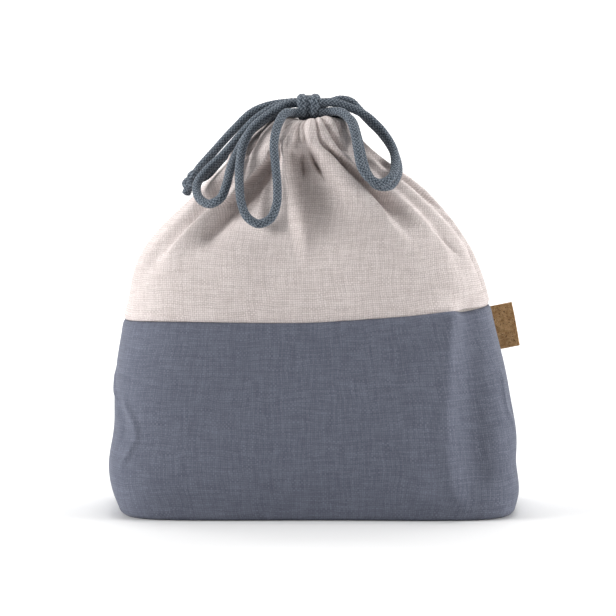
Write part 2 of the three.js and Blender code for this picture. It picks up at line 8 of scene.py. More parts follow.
import logging
import math
from dataclasses import dataclass
from enum import Enum
from typing import Any, Callable, Sequence

import bpy
import numpy as np
from mathutils import Matrix, Vector

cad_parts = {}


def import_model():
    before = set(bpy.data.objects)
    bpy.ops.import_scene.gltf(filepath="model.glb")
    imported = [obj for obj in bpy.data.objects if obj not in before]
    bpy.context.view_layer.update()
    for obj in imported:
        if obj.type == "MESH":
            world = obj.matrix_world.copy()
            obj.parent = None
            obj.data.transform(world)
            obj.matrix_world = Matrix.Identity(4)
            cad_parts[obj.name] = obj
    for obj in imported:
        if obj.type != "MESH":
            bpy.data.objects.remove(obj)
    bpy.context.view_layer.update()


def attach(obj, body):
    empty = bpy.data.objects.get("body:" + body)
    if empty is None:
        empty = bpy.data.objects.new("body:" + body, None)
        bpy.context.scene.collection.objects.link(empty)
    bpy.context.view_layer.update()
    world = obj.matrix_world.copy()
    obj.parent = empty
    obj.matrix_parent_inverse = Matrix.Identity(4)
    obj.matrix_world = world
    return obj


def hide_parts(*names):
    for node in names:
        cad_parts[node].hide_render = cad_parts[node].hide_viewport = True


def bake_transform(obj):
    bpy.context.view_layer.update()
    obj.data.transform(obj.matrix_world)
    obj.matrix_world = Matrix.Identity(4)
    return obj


LOG = logging.getLogger("lunch_bag")
MM = 0.001
# Blender's wave texture is the sine of this many times the place and the scale.
WAVE_RATE = 20.0
Point = tuple[float, float, float]
Pair = tuple[float, float]
# Points, faces and thread coordinates of a swept cord.
Swept = tuple[np.ndarray, list, np.ndarray]


def linear(colour: str) -> tuple[float, float, float, float]:
    """Turns an sRGB hex colour into linear red, green, blue and alpha.

    Args:
        colour: Six hex digits after a hash sign.

    Returns:
        The linear colour with full alpha.
    """
    parts = [int(colour[i : i + 2], 16) / 255 for i in (1, 3, 5)]
    light = [p / 12.92 if p <= 0.04045 else ((p + 0.055) / 1.055) ** 2.4 for p in parts]
    return (light[0], light[1], light[2], 1.0)


def add_node(tree: Any, kind: str, feeds: dict[Any, Any] | None = None, **settings: Any) -> Any:
    """Adds a node, sets its options and feeds its inputs.

    Args:
        tree: Node tree that takes the node.
        kind: Blender's name of the node type.
        feeds: Input names or numbers, each with a value or an output socket.
        settings: The node's own options.

    Returns:
        The new node.
    """
    node = tree.nodes.new(kind)
    for name, value in settings.items():
        setattr(node, name, value)
    for key, value in (feeds or {}).items():
        if isinstance(value, bpy.types.NodeSocket):
            tree.links.new(value, node.inputs[key])
        else:
            node.inputs[key].default_value = value
    return node


def new_material(name: str) -> tuple[bpy.types.Material, Any]:
    """Makes an empty node material.

    Args:
        name: Name of the material.

    Returns:
        The material and its node tree.
    """
    material = bpy.data.materials.new(name)
    material.use_nodes = True
    material.node_tree.nodes.clear()
    return material, material.node_tree


def smoothstep(low: float, high: float, value: np.ndarray) -> np.ndarray:
    """Rises smoothly from 0 at low to 1 at high, elementwise."""
    t = np.clip((value - low) / (high - low), 0, 1)
    return t * t * (3 - 2 * t)


def unit(vectors: np.ndarray) -> np.ndarray:
    """Scales the vectors on the last axis to length 1."""
    return vectors / np.linalg.norm(vectors, axis=-1, keepdims=True)


def run_along(points: np.ndarray) -> np.ndarray:
    """Gives the distance along a line from its first point to each of its points."""
    return np.concatenate([[0], np.cumsum(np.linalg.norm(np.diff(points, axis=0), axis=1))])


def crossing_threads(tree: Any, place: Any, pitch: float) -> tuple[Any, Any]:
    """Lays two sets of threads over and under each other.

    Args:
        tree: The material's node tree.
        place: Output socket that gives the place along and across the threads, in metres.
        pitch: Distance from thread to thread in metres.

    Returns:
        Output sockets that give which set lies on top and how high the threads stand.
    """
    wave = {"Vector": place, "Scale": 2 * math.pi / (WAVE_RATE * pitch)}
    one = add_node(tree, "ShaderNodeTexWave", wave, bands_direction="X")
    other = add_node(tree, "ShaderNodeTexWave", wave, bands_direction="Y")
    over = add_node(tree, "ShaderNodeTexChecker", {"Vector": place, "Scale": 1 / pitch})
    height = add_node(tree, "ShaderNodeMix", {
        "Factor": over.outputs["Fac"],
        "A": one.outputs["Fac"],
        "B": other.outputs["Fac"],
    })
    return over.outputs["Fac"], height.outputs["Result"]


def finish_surface(tree: Any, colour: Any, height: Any, strength: float, relief: float, **look: Any) -> None:
    """Ends a material: a surface of a colour whose relief follows a height.

    Args:
        tree: The material's node tree.
        colour: Output socket that gives the colour.
        height: Output socket that gives the relief's height.
        strength: How strongly the relief tilts the light.
        relief: Depth of the relief in metres.
        look: The surface's other inputs, with an underscore for each space in their names.
    """
    bump = add_node(tree, "ShaderNodeBump", {"Height": height, "Strength": strength, "Distance": relief})
    inputs = {name.replace("_", " "): value for name, value in look.items()}
    shader = add_node(tree, "ShaderNodeBsdfPrincipled", {
        "Base Color": colour,
        "Normal": bump.outputs["Normal"],
        **inputs,
    })
    add_node(tree, "ShaderNodeOutputMaterial", {"Surface": shader.outputs["BSDF"]})


@dataclass(frozen=True)
class Canvas:
    """Plain-woven cotton canvas: crossing threads of slightly different tone, matte with a faint nap."""

    name: str
    thread: str
    dark_thread: str
    pale_thread: str
    pitch: float
    grain: float
    slub: float
    relief: float
    sheen: float

    WANDER_LENGTH = 50 / 3 * MM
    WANDER_THREADS = 3.0
    SLUB_SLIMNESS = 0.09
    SLUBS_PER_THREAD = 0.8

    def material(self) -> bpy.types.Material:
        """Builds the cloth's material on the piece's own UV map, which is in metres along the threads.

        Returns:
            The material.
        """
        material, tree = new_material(self.name)
        uv = add_node(tree, "ShaderNodeUVMap", uv_map="threads").outputs["UV"]
        wobble = add_node(tree, "ShaderNodeTexNoise", {
            "Vector": uv,
            "Scale": 1 / self.WANDER_LENGTH,
            "Detail": 1.0,
        })
        shift = add_node(tree, "ShaderNodeVectorMath", {
            0: wobble.outputs["Color"],
            1: (0.5, 0.5, 0.5),
        }, operation="SUBTRACT")
        drift = add_node(tree, "ShaderNodeVectorMath", {
            0: shift.outputs["Vector"],
            "Scale": self.WANDER_THREADS * self.pitch,
        }, operation="SCALE")
        weave = add_node(tree, "ShaderNodeVectorMath", {0: uv, 1: drift.outputs["Vector"]}, operation="ADD")
        threads = weave.outputs["Vector"]
        over, height = crossing_threads(tree, threads, self.pitch)
        tones = []
        for along in ((1.0, self.SLUB_SLIMNESS, 1.0), (self.SLUB_SLIMNESS, 1.0, 1.0)):
            stretched = add_node(tree, "ShaderNodeMapping", {"Vector": threads, "Scale": along})
            tones.append(add_node(tree, "ShaderNodeTexNoise", {
                "Vector": stretched.outputs["Vector"],
                "Scale": self.SLUBS_PER_THREAD / self.pitch,
                "Detail": 2.0,
                "Roughness": 0.7,
            }))
        tone = add_node(tree, "ShaderNodeMix", {
            "Factor": over,
            "A": tones[0].outputs["Fac"],
            "B": tones[1].outputs["Fac"],
        })
        lift = add_node(tree, "ShaderNodeMath", {
            0: height,
            1: self.grain,
            2: tone.outputs["Result"],
        }, operation="MULTIPLY_ADD")
        ramp = add_node(tree, "ShaderNodeValToRGB", {"Fac": lift.outputs["Value"]})
        middle = 0.5 + self.grain / 2
        ramp.color_ramp.elements[0].position = middle - self.slub
        ramp.color_ramp.elements[0].color = linear(self.dark_thread)
        ramp.color_ramp.elements[1].position = middle + self.slub
        ramp.color_ramp.elements[1].color = linear(self.pale_thread)
        ramp.color_ramp.elements.new(middle).color = linear(self.thread)
        finish_surface(
            tree, ramp.outputs["Color"], lift.outputs["Value"], 1.0, self.relief,
            Roughness=0.93, IOR=1.45, Specular_IOR_Level=0.25, Sheen_Weight=self.sheen, Sheen_Roughness=0.45,
        )
        return material


@dataclass(frozen=True)
class BraidedCotton:
    """Round braided cotton cord: crossing picks of mixed grey-blue yarns, matte and a little fuzzy."""

    name: str
    yarn: str
    dark_yarn: str
    pale_yarn: str
    girth: float
    picks_round: int

    FIBRES_PER_PICK = 0.9
    FUZZ = 0.62
    TONE_SPREAD = 0.2
    RELIEF = 0.4 * MM

    def material(self) -> bpy.types.Material:
        """Builds the cord's material on its UV map: metres along the cord and round it.

        Returns:
            The material.
        """
        material, tree = new_material(self.name)
        uv = add_node(tree, "ShaderNodeUVMap", uv_map="threads").outputs["UV"]
        pick = self.girth / (math.sqrt(2) * self.picks_round)
        leaning = add_node(tree, "ShaderNodeMapping", {"Vector": uv, "Rotation": (0.0, 0.0, math.pi / 4)})
        _, braid = crossing_threads(tree, leaning.outputs["Vector"], pick)
        fibres = add_node(tree, "ShaderNodeTexNoise", {
            "Vector": uv,
            "Scale": self.FIBRES_PER_PICK / pick,
            "Detail": 3.0,
            "Roughness": 0.7,
        })
        heather = add_node(tree, "ShaderNodeMix", {
            "Factor": self.FUZZ,
            "A": braid,
            "B": fibres.outputs["Fac"],
        })
        ramp = add_node(tree, "ShaderNodeValToRGB", {"Fac": heather.outputs["Result"]})
        ramp.color_ramp.elements[0].position = 0.5 - self.TONE_SPREAD
        ramp.color_ramp.elements[0].color = linear(self.dark_yarn)
        ramp.color_ramp.elements[1].position = 0.5 + self.TONE_SPREAD
        ramp.color_ramp.elements[1].color = linear(self.pale_yarn)
        ramp.color_ramp.elements.new(0.5).color = linear(self.yarn)
        finish_surface(
            tree, ramp.outputs["Color"], heather.outputs["Result"], 0.9, self.RELIEF,
            Roughness=0.9, IOR=1.45, Specular_IOR_Level=0.25, Sheen_Weight=0.25, Sheen_Roughness=0.4,
        )
        return material


@dataclass(frozen=True)
class CorkSheet:
    """Pressed cork on a cloth backing: brown granules with dark bark flecks, dull and slightly waxy."""

    name: str
    granule: str
    pale_granule: str
    bark: str
    granule_size: float

    PATCHES_PER_GRANULE = 0.45
    FLECKS_PER_GRANULE = 0.9
    PATCH_EDGE = (0.34, 0.66)
    FLECK_EDGE = (0.56, 0.66)
    RELIEF = 0.15 * MM

    def material(self) -> bpy.types.Material:
        """Builds the cork's material on object coordinates.

        Returns:
            The material.
        """
        material, tree = new_material(self.name)
        place = add_node(tree, "ShaderNodeTexCoord").outputs["Object"]
        grains = add_node(tree, "ShaderNodeTexVoronoi", {"Vector": place, "Scale": 1 / self.granule_size})
        mottle = add_node(tree, "ShaderNodeTexNoise", {
            "Vector": place,
            "Scale": self.PATCHES_PER_GRANULE / self.granule_size,
            "Detail": 4.0,
            "Roughness": 0.65,
        })
        flecks = add_node(tree, "ShaderNodeTexNoise", {
            "Vector": place,
            "Scale": self.FLECKS_PER_GRANULE / self.granule_size,
            "Detail": 3.0,
            "Distortion": 0.8,
        })
        patches = add_node(tree, "ShaderNodeMapRange", {
            "Value": mottle.outputs["Fac"],
            "From Min": self.PATCH_EDGE[0],
            "From Max": self.PATCH_EDGE[1],
        })
        base = add_node(tree, "ShaderNodeMix", {
            "Factor": patches.outputs["Result"],
            "A": linear(self.granule),
            "B": linear(self.pale_granule),
        }, data_type="RGBA")
        dark = add_node(tree, "ShaderNodeMapRange", {
            "Value": flecks.outputs["Fac"],
            "From Min": self.FLECK_EDGE[0],
            "From Max": self.FLECK_EDGE[1],
        })
        colour = add_node(tree, "ShaderNodeMix", {
            "Factor": dark.outputs["Result"],
            "A": base.outputs["Result"],
            "B": linear(self.bark),
        }, data_type="RGBA")
        finish_surface(
            tree, colour.outputs["Result"], grains.outputs["Distance"], 0.5, self.RELIEF,
            Roughness=0.72, IOR=1.45, Specular_IOR_Level=0.35,
        )
        return material


@dataclass(frozen=True)
class StudioPaper:
    """White seamless background paper: even, bright and without gloss."""

    name: str
    colour: str

    def material(self) -> bpy.types.Material:
        """Builds the paper's material.

        Returns:
            The material.
        """
        material, tree = new_material(self.name)
        shader = add_node(tree, "ShaderNodeBsdfPrincipled", {
            "Base Color": linear(self.colour),
            "Roughness": 0.95,
            "Specular IOR Level": 0.1,
        })
        add_node(tree, "ShaderNodeOutputMaterial", {"Surface": shader.outputs["BSDF"]})
        return material


CORD_RADIUS = 2.25 * MM
# The real weave is about 0.6 mm; it is drawn coarser so that it shows at half a millimetre per pixel.
WEAVE = 1.1 * MM
BLUE_CANVAS = Canvas(
    "blue_grey_cotton_canvas", "#686c7a", "#595d6b", "#797d8b",
    pitch=WEAVE, grain=0.2, slub=0.22, relief=0.22 * MM, sheen=0.1,
)
LINEN_CANVAS = Canvas(
    "natural_cotton_canvas", "#d8cdca", "#beb2ae", "#ebe2df",
    pitch=WEAVE, grain=0.4, slub=0.26, relief=0.24 * MM, sheen=0.03,
)
SEAM_TAPE = Canvas(
    "cotton_seam_tape", "#cbc3be", "#b9b0aa", "#d9d2ce",
    pitch=0.8 * MM, grain=0.16, slub=0.16, relief=0.15 * MM, sheen=0.05,
)
CORD_YARN = BraidedCotton(
    "braided_cotton_cord", "#565f69", "#373f48", "#838c96",
    girth=2 * math.pi * CORD_RADIUS, picks_round=7,
)
CORK = CorkSheet("pressed_cork", "#926c45", "#c6a070", "#4e3423", granule_size=0.8 * MM)
PAPER = StudioPaper("seamless_paper", "#f0f0f0")


def make_mesh(
    name: str, points: np.ndarray, faces: Sequence[Sequence[int]], uv: np.ndarray
) -> bpy.types.Object:
    """Makes a smooth-shaded mesh object with a thread map.

    Args:
        name: Name of the piece.
        points: Vertex positions, one row each.
        faces: Vertex numbers of each face.
        uv: Thread coordinates in metres, one row per vertex.

    Returns:
        The new object, at the origin.
    """
    mesh = bpy.data.meshes.new(name)
    mesh.from_pydata(points.tolist(), [], [list(f) for f in faces])
    layer = mesh.uv_layers.new(name="threads")
    corners = np.zeros(len(mesh.loops), np.int32)
    mesh.loops.foreach_get("vertex_index", corners)
    layer.data.foreach_set("uv", uv[corners].astype(np.float32).ravel())
    mesh.polygons.foreach_set("use_smooth", np.ones(len(mesh.polygons), bool))
    mesh.update()
    piece = bpy.data.objects.new(name, mesh)
    bpy.context.scene.collection.objects.link(piece)
    return piece


def grid_faces(rows: int, columns: int) -> np.ndarray:
    """Numbers the quads of a grid whose rows climb and whose columns run clockwise seen from above.

    Args:
        rows: Number of vertex rows.
        columns: Number of vertex columns.

    Returns:
        Four vertex numbers per quad, turned so that the faces point out of the bag.
    """
    numbers = np.arange(rows * columns).reshape(rows, columns)
    low, high = numbers[:-1], numbers[1:]
    quads = [low[:, :-1], high[:, :-1], high[:, 1:], low[:, 1:]]
    return np.stack(quads, axis=-1).reshape(-1, 4)


def apply_modifier(piece: bpy.types.Object, kind: str, **settings: Any) -> None:
    """Adds a modifier to a piece and applies it.

    Args:
        piece: The object to change.
        kind: Blender's name of the modifier type.
        settings: The modifier's options.
    """
    bpy.ops.object.select_all(action="DESELECT")
    bpy.context.view_layer.objects.active = piece
    piece.select_set(True)
    modifier = piece.modifiers.new(kind.lower(), kind)
    for name, value in settings.items():
        setattr(modifier, name, value)
    bpy.ops.object.modifier_apply(modifier=modifier.name)


def pick_edges(piece: bpy.types.Object, wanted: Callable[[Vector], bool]) -> None:
    """Selects, in edit mode, the vertices of a piece that a test picks and the edges between them.

    Args:
        piece: The object in edit mode.
        wanted: Test of a vertex's place.
    """
    bpy.ops.mesh.select_mode(type="VERT")
    bpy.ops.mesh.select_all(action="DESELECT")
    bpy.ops.object.mode_set(mode="OBJECT")
    for vertex in piece.data.vertices:
        vertex.select = wanted(vertex.co)
    bpy.ops.object.mode_set(mode="EDIT")
    bpy.ops.mesh.select_mode(type="EDGE")


def curve_through(places: Sequence[float], values: Sequence[float], at: np.ndarray) -> np.ndarray:
    """Reads a smooth curve that runs through points without overshooting them.

    Args:
        places: Where the points lie, climbing.
        values: Their values.
        at: Where the curve is read.

    Returns:
        The values there.
    """
    z, v = np.array(places, float), np.array(values, float)
    slope = np.diff(v) / np.diff(z)
    inner = slope[:-1] * slope[1:]
    total = np.where(inner > 0, slope[:-1] + slope[1:], 1.0)
    tangent = np.concatenate([slope[:1], np.where(inner > 0, 2 * inner / total, 0), slope[-1:]])
    i = np.clip(np.searchsorted(z, at) - 1, 0, len(z) - 2)
    span = (z[1:] - z[:-1])[i]
    t = (at - z[i]) / span
    u = 1 - t
    ends = (1 + 2 * t) * u * u * v[i] + (3 - 2 * t) * t * t * v[i + 1]
    return ends + t * u * span * (u * tangent[i] - t * tangent[i + 1])


@dataclass(frozen=True)
class Level:
    """Outline of the bag at one height: sizes in millimetres."""

    height: float
    width: float
    depth: float
    squareness: float
    lean: float


class BagForm:
    """The bag's smooth outer form, measured by share round the bag and height.

    The share runs from 0 at the right side seam over the front to 1 at the left seam, and on over the back
    to 2.
    """

    LEVELS = (
        Level(0, 196, 98, 6, 0),
        Level(30, 212.6, 108, 4.4, -0.8),
        Level(101, 190, 103, 3, -2.7),
        Level(129, 175.6, 92, 2.6, -4),
        Level(165, 117, 69, 2.2, -1.5),
        Level(186, 68, 56, 2, -4),
        Level(201, 35, 39, 2, -1),
    )
    BAND = 101.0
    BAND_TILT = 2.9
    BAND_SAG = 3.5
    BAND_SAG_ROUNDING = 0.01
    BAND_SAG_START = 0.16
    BAND_LEFT_DROP = 2.0
    BAND_DROP_POWER = 6
    NECK = 186.0
    RIM = 201.0
    BEARINGS = np.linspace(0, math.pi, 1441)
    TABLE_HEIGHTS = np.linspace(0, 203, 204)
    TABLE_SHARES = np.linspace(0, 1, 401)

    def __init__(self) -> None:
        """Prepares the tables that turn a share of the way round into an angle."""
        rows, lengths = [], []
        for height in self.TABLE_HEIGHTS:
            x, y = self._outline(self.BEARINGS, np.full_like(self.BEARINGS, height), 0.0)
            run = run_along(np.stack([x, y], axis=1))
            rows.append(np.interp(self.TABLE_SHARES * run[-1], run, self.BEARINGS))
            lengths.append(run[-1])
        self._bearings = np.array(rows)
        self._lengths = np.array(lengths)

    def value(self, key: str, height: np.ndarray) -> np.ndarray:
        """Reads a size that runs smoothly through the levels without overshooting.

        Args:
            key: Name of the level's field.
            height: Heights in millimetres.

        Returns:
            The size at each height.
        """
        heights = [level.height for level in self.LEVELS]
        return curve_through(heights, [getattr(level, key) for level in self.LEVELS], height)

    def _outline(self, bearing: np.ndarray, height: np.ndarray, inset: Any) -> tuple[np.ndarray, np.ndarray]:
        """Gives the outline as seen from its middle.

        Args:
            bearing: Angles from the right, in radians.
            height: Heights in millimetres.
            inset: How far inside the form the outline lies, in millimetres.

        Returns:
            Its x and y in millimetres.
        """
        power = self.value("squareness", height)
        half_width = self.value("width", height) / 2 - inset
        half_depth = self.value("depth", height) / 2 - inset
        across, deep = np.cos(bearing), np.sin(bearing)
        reach = np.abs(across / half_width) ** power + np.abs(deep / half_depth) ** power
        radius = reach ** (-1 / power)
        return self.value("lean", height) + radius * across, radius * deep

    def half_round(self, height: np.ndarray) -> np.ndarray:
        """Gives the distance round one side, seam to seam, in millimetres."""
        return np.interp(height, self.TABLE_HEIGHTS, self._lengths)

    def band(self, share: np.ndarray) -> np.ndarray:
        """Gives the height of the seam between the two cloths.

        Args:
            share: Shares of the way round.

        Returns:
            The height in millimetres.
        """
        level = np.full_like(share, self.BAND)
        x, _ = self._outline(self._bearing(share, level), level, 0.0)
        across = (x - self.value("lean", level)) / (self.value("width", level) / 2)
        sag = self.BAND_SAG * (np.sqrt(across**2 + self.BAND_SAG_ROUNDING) - self.BAND_SAG_START)
        drop = self.BAND_LEFT_DROP * np.maximum(-across, 0) ** self.BAND_DROP_POWER
        return self.BAND + self.BAND_TILT * across + sag - drop

    def _bearing(self, share: np.ndarray, height: np.ndarray) -> np.ndarray:
        """Looks up the bearing that lies a share of the way round at a height.

        Args:
            share: Shares of the way round.
            height: Heights in millimetres.

        Returns:
            The bearings in radians, from the right round to the left on either face.
        """
        turn = np.mod(share, 2.0)
        part = np.where(turn <= 1, turn, 2 - turn)
        row = np.clip(height / self.TABLE_HEIGHTS[-1], 0, 1) * (len(self.TABLE_HEIGHTS) - 1)
        column = np.clip(part, 0, 1) * (len(self.TABLE_SHARES) - 1)
        r = np.clip(row.astype(int), 0, len(self.TABLE_HEIGHTS) - 2)
        c = np.clip(column.astype(int), 0, len(self.TABLE_SHARES) - 2)
        fr, fc = row - r, column - c
        low = self._bearings[r, c] * (1 - fc) + self._bearings[r, c + 1] * fc
        high = self._bearings[r + 1, c] * (1 - fc) + self._bearings[r + 1, c + 1] * fc
        return low * (1 - fr) + high * fr

    def points(self, share: np.ndarray, height: np.ndarray, inset: np.ndarray) -> np.ndarray:
        """Gives points of the form.

        Args:
            share: Shares of the way round.
            height: Heights in millimetres.
            inset: How far inside the form each point lies, in millimetres.

        Returns:
            Points in millimetres, with x, y and z on the last axis.
        """
        x, y = self._outline(self._bearing(share, height), height, inset)
        side = np.where(np.mod(share, 2.0) <= 1, -1.0, 1.0)
        return np.stack([x, side * y, np.broadcast_to(height, x.shape)], axis=-1)

    def shell(self, share: np.ndarray, height: np.ndarray, inset: np.ndarray, lift: np.ndarray,
              level: Any = 0.0) -> np.ndarray:
        """Gives a grid of points moved out along the form's normals.

        Args:
            share: Shares of the way round, one grid.
            height: Heights in millimetres, rows climbing.
            inset: Insets in millimetres.
            lift: How far each point moves out, in millimetres.
            level: How far the move is turned level, from 0, along the normal, to 1.

        Returns:
            Points in metres, with x, y and z on the last axis.
        """
        step = 1e-3
        base = self.points(share, height, inset)
        along = self.points(share + step, height, inset) - self.points(share - step, height, inset)
        normal = unit(np.cross(np.gradient(base, axis=0), along))
        flat = unit(np.cross((0.0, 0.0, 1.0), along))
        turn = np.broadcast_to(level, lift.shape)[..., None]
        return (base + (normal * (1 - turn) + flat * turn) * lift[..., None]) * MM


@dataclass(frozen=True)
class Fold:
    """A ridge or crease in the cloth: its line from the top down as share and height, and its sizes in mm."""

    line: tuple[Pair, ...]
    rise: float
    width: float
    width_towards_right: float = 0.0
    fade: float = 14.0
    pinch: float = 2.0

    def lift(self, form: BagForm, share: np.ndarray, height: np.ndarray) -> np.ndarray:
        """Gives how far the fold moves the cloth out.

        Args:
            form: The bag's form.
            share: Shares of the way round.
            height: Heights in millimetres.

        Returns:
            The lift in millimetres.
        """
        shares, heights = zip(*self.line[::-1])
        centre = curve_through(heights, shares, np.clip(height, heights[0], heights[-1]))
        away = (np.mod(share - centre + 1, 2) - 1) * form.half_round(height)
        right = self.width_towards_right or self.width
        shape = np.exp(-(np.abs(away / np.where(away > 0, self.width, right)) ** self.pinch))
        ends = smoothstep(heights[0], heights[0] + self.fade, height)
        ends = ends * smoothstep(heights[-1], heights[-1] - self.fade, height)
        return self.rise * shape * ends


@dataclass(frozen=True)
class Gathers:
    """A row of pleats that deepens towards the neck, with round crests and narrow valleys."""

    pleats_per_side: int
    depth: float
    casing_depth: float
    start: float
    full: float
    phase: float

    # slow waves that make the pleats uneven: how many go round the bag, their size and share of the phase
    UNEVEN_WIDTH = ((3, 0.006, 1.0), (7, 0.004, 2.3))
    UNEVEN_DEPTH = (5, 0.25, 3.0)
    CASING = (177.0, 187.0)

    def lift(self, share: np.ndarray, height: np.ndarray) -> np.ndarray:
        """Gives how far the pleats move the cloth, with crests at 0 and valleys below.

        Args:
            share: Shares of the way round.
            height: Heights in millimetres.

        Returns:
            The lift in millimetres.
        """
        turn = math.pi * share
        uneven = 0.0
        for count, size, part in self.UNEVEN_WIDTH:
            uneven = uneven + size * np.sin(count * turn + part * self.phase)
        wave = np.abs(np.cos(math.pi * self.pleats_per_side * (share + uneven) + self.phase))
        count, size, part = self.UNEVEN_DEPTH
        strength = 1 - size + size * np.sin(count * turn + part * self.phase)
        depth = self.depth + (self.casing_depth - self.depth) * smoothstep(*self.CASING, height)
        return depth * strength * smoothstep(self.start, self.full, height) * (wave - 1)


def ripple(share: np.ndarray, height: np.ndarray, length: float, seed: int) -> np.ndarray:
    """Gives a gentle unevenness of cloth between about -1 and 1, the same on every run.

    Args:
        share: Shares of the way round.
        height: Heights in millimetres.
        length: Typical length of a ripple in millimetres.
        seed: Number that picks the pattern.

    Returns:
        The unevenness.
    """
    girth, waves = 520, 9
    pick = np.random.default_rng(seed)
    total = np.zeros(np.broadcast(share, height).shape)
    for _ in range(waves):
        round_count = pick.integers(1, max(2, int(girth / length)))
        up_rate = pick.uniform(-1, 1) * 2 * math.pi / length
        total += np.cos(math.pi * round_count * share + up_rate * height + pick.uniform(0, 2 * math.pi))
    return total / math.sqrt(waves)


@dataclass(frozen=True)
class FoldLine:
    """A main ridge or valley of the upper cloth: its share of the way from the right seam, and its lift."""

    neck: float
    slope: float
    shoulder: float
    lift: float
    foot: float = 112.0
    top: float = 0.8

    SHOULDER, SLOPE, NECK = (level.height for level in BagForm.LEVELS[3:6])
    GROWN = 167.0

    def share(self, height: np.ndarray) -> np.ndarray:
        """Follows the line smoothly through the shoulder, slope and neck levels.

        Args:
            height: Heights in millimetres.

        Returns:
            The share at each height.
        """
        shoulder, slope, neck = self.SHOULDER, self.SLOPE, self.NECK
        z = np.maximum(height, shoulder)
        at_neck = (z - slope) * (z - shoulder) / ((neck - slope) * (neck - shoulder))
        at_slope = (z - neck) * (z - shoulder) / ((slope - neck) * (slope - shoulder))
        return self.neck * at_neck + self.slope * at_slope + self.shoulder * (1 - at_neck - at_slope)

    def grown(self, height: np.ndarray) -> np.ndarray:
        """Gives the lift at each height: it grows from the foot to the slope and eases to the top share."""
        eased = 1 - (1 - self.top) * smoothstep(self.GROWN, self.NECK, height)
        return self.lift * smoothstep(self.foot, self.GROWN, height) * eased


class MainFolds:
    """The large folds of the upper cloth, close to the solids' folds, from the right seam to the left one."""

    FRONT = (
        FoldLine(0, 0, 0, 0),
        FoldLine(0.09, 0.06, 0.05, 1.4),
        FoldLine(0.13, 0.085, 0.068, -1.8),
        FoldLine(0.2, 0.125, 0.1, 0.6),
        FoldLine(0.25, 0.175, 0.14, -3.2),
        FoldLine(0.335, 0.215, 0.17, 0.6),
        FoldLine(0.378, 0.295, 0.215, -11, 138, 0.6),
        FoldLine(0.41, 0.325, 0.245, 1),
        FoldLine(0.555, 0.53, 0.49, -12),
        FoldLine(0.63, 0.587, 0.53, 0.5),
        FoldLine(0.675, 0.735, 0.78, -9, 120),
        FoldLine(0.72, 0.8, 0.832, 1),
        FoldLine(0.86, 0.84, 0.873, -8, 112, 0.15),
        FoldLine(0.93, 0.91, 0.915, 1),
        FoldLine(1, 1, 1, 0.6),
    )
    BACK = (
        FoldLine(0, 0, 0, 0),
        FoldLine(0.09, 0.075, 0.07, 1),
        FoldLine(0.17, 0.145, 0.125, -6),
        FoldLine(0.255, 0.225, 0.185, 1),
        FoldLine(0.3, 0.275, 0.24, -11),
        FoldLine(0.41, 0.385, 0.35, 0.5),
        FoldLine(0.515, 0.5, 0.47, -10),
        FoldLine(0.6, 0.615, 0.62, 0.6),
        FoldLine(0.7, 0.715, 0.735, -11),
        FoldLine(0.78, 0.795, 0.83, 1),
        FoldLine(0.86, 0.87, 0.89, -5),
        FoldLine(0.93, 0.93, 0.94, 0.6),
        FoldLine(1, 1, 1, 0.6),
    )
    CASING_BLEND = (BagForm.NECK + 6, BagForm.NECK - 2)
    SHARPNESS = 0.2

    def lift(self, share: np.ndarray, height: np.ndarray) -> np.ndarray:
        """Gives how far the folds move the cloth out, in millimetres."""
        below_casing = smoothstep(*self.CASING_BLEND, height)
        return below_casing * self._between(share, height, lambda line: line.grown(height), self.SHARPNESS)

    def neck_share(self, share: np.ndarray, height: np.ndarray) -> np.ndarray:
        """Follows the cloth up along the folds to the neck.

        Args:
            share: Shares of the way round.
            height: Heights in millimetres.

        Returns:
            The share that it reaches there.
        """
        turn = np.mod(share, 2.0)
        part = self._between(share, height, lambda line: line.neck, 1.0)
        return np.where(turn <= 1, part, 2 - part)

    def _between(self, share: np.ndarray, height: np.ndarray, read: Callable[[FoldLine], Any],
                 sharpness: float) -> np.ndarray:
        """Blends a value of the fold lines between neighbouring lines.

        Args:
            share: Shares of the way round.
            height: Heights in millimetres.
            read: Gives the value of a fold line.
            sharpness: From 0, rounded ridges and valleys, to 1, straight sides.

        Returns:
            The value at each point.
        """
        turn = np.mod(share, 2.0)
        part = np.where(turn <= 1, turn, 2 - turn)
        total = np.zeros(np.broadcast(part, height).shape)
        for lines, here in ((self.FRONT, turn <= 1), (self.BACK, turn > 1)):
            for one, other in zip(lines, lines[1:]):
                low, high = one.share(height), other.share(height)
                t = (part - low) / (high - low)
                way = sharpness * t + (1 - sharpness) * t * t * (3 - 2 * t)
                value = read(one) * (1 - way) + read(other) * way
                total = np.where(here & (t >= 0) & (t <= 1), value, total)
        return total


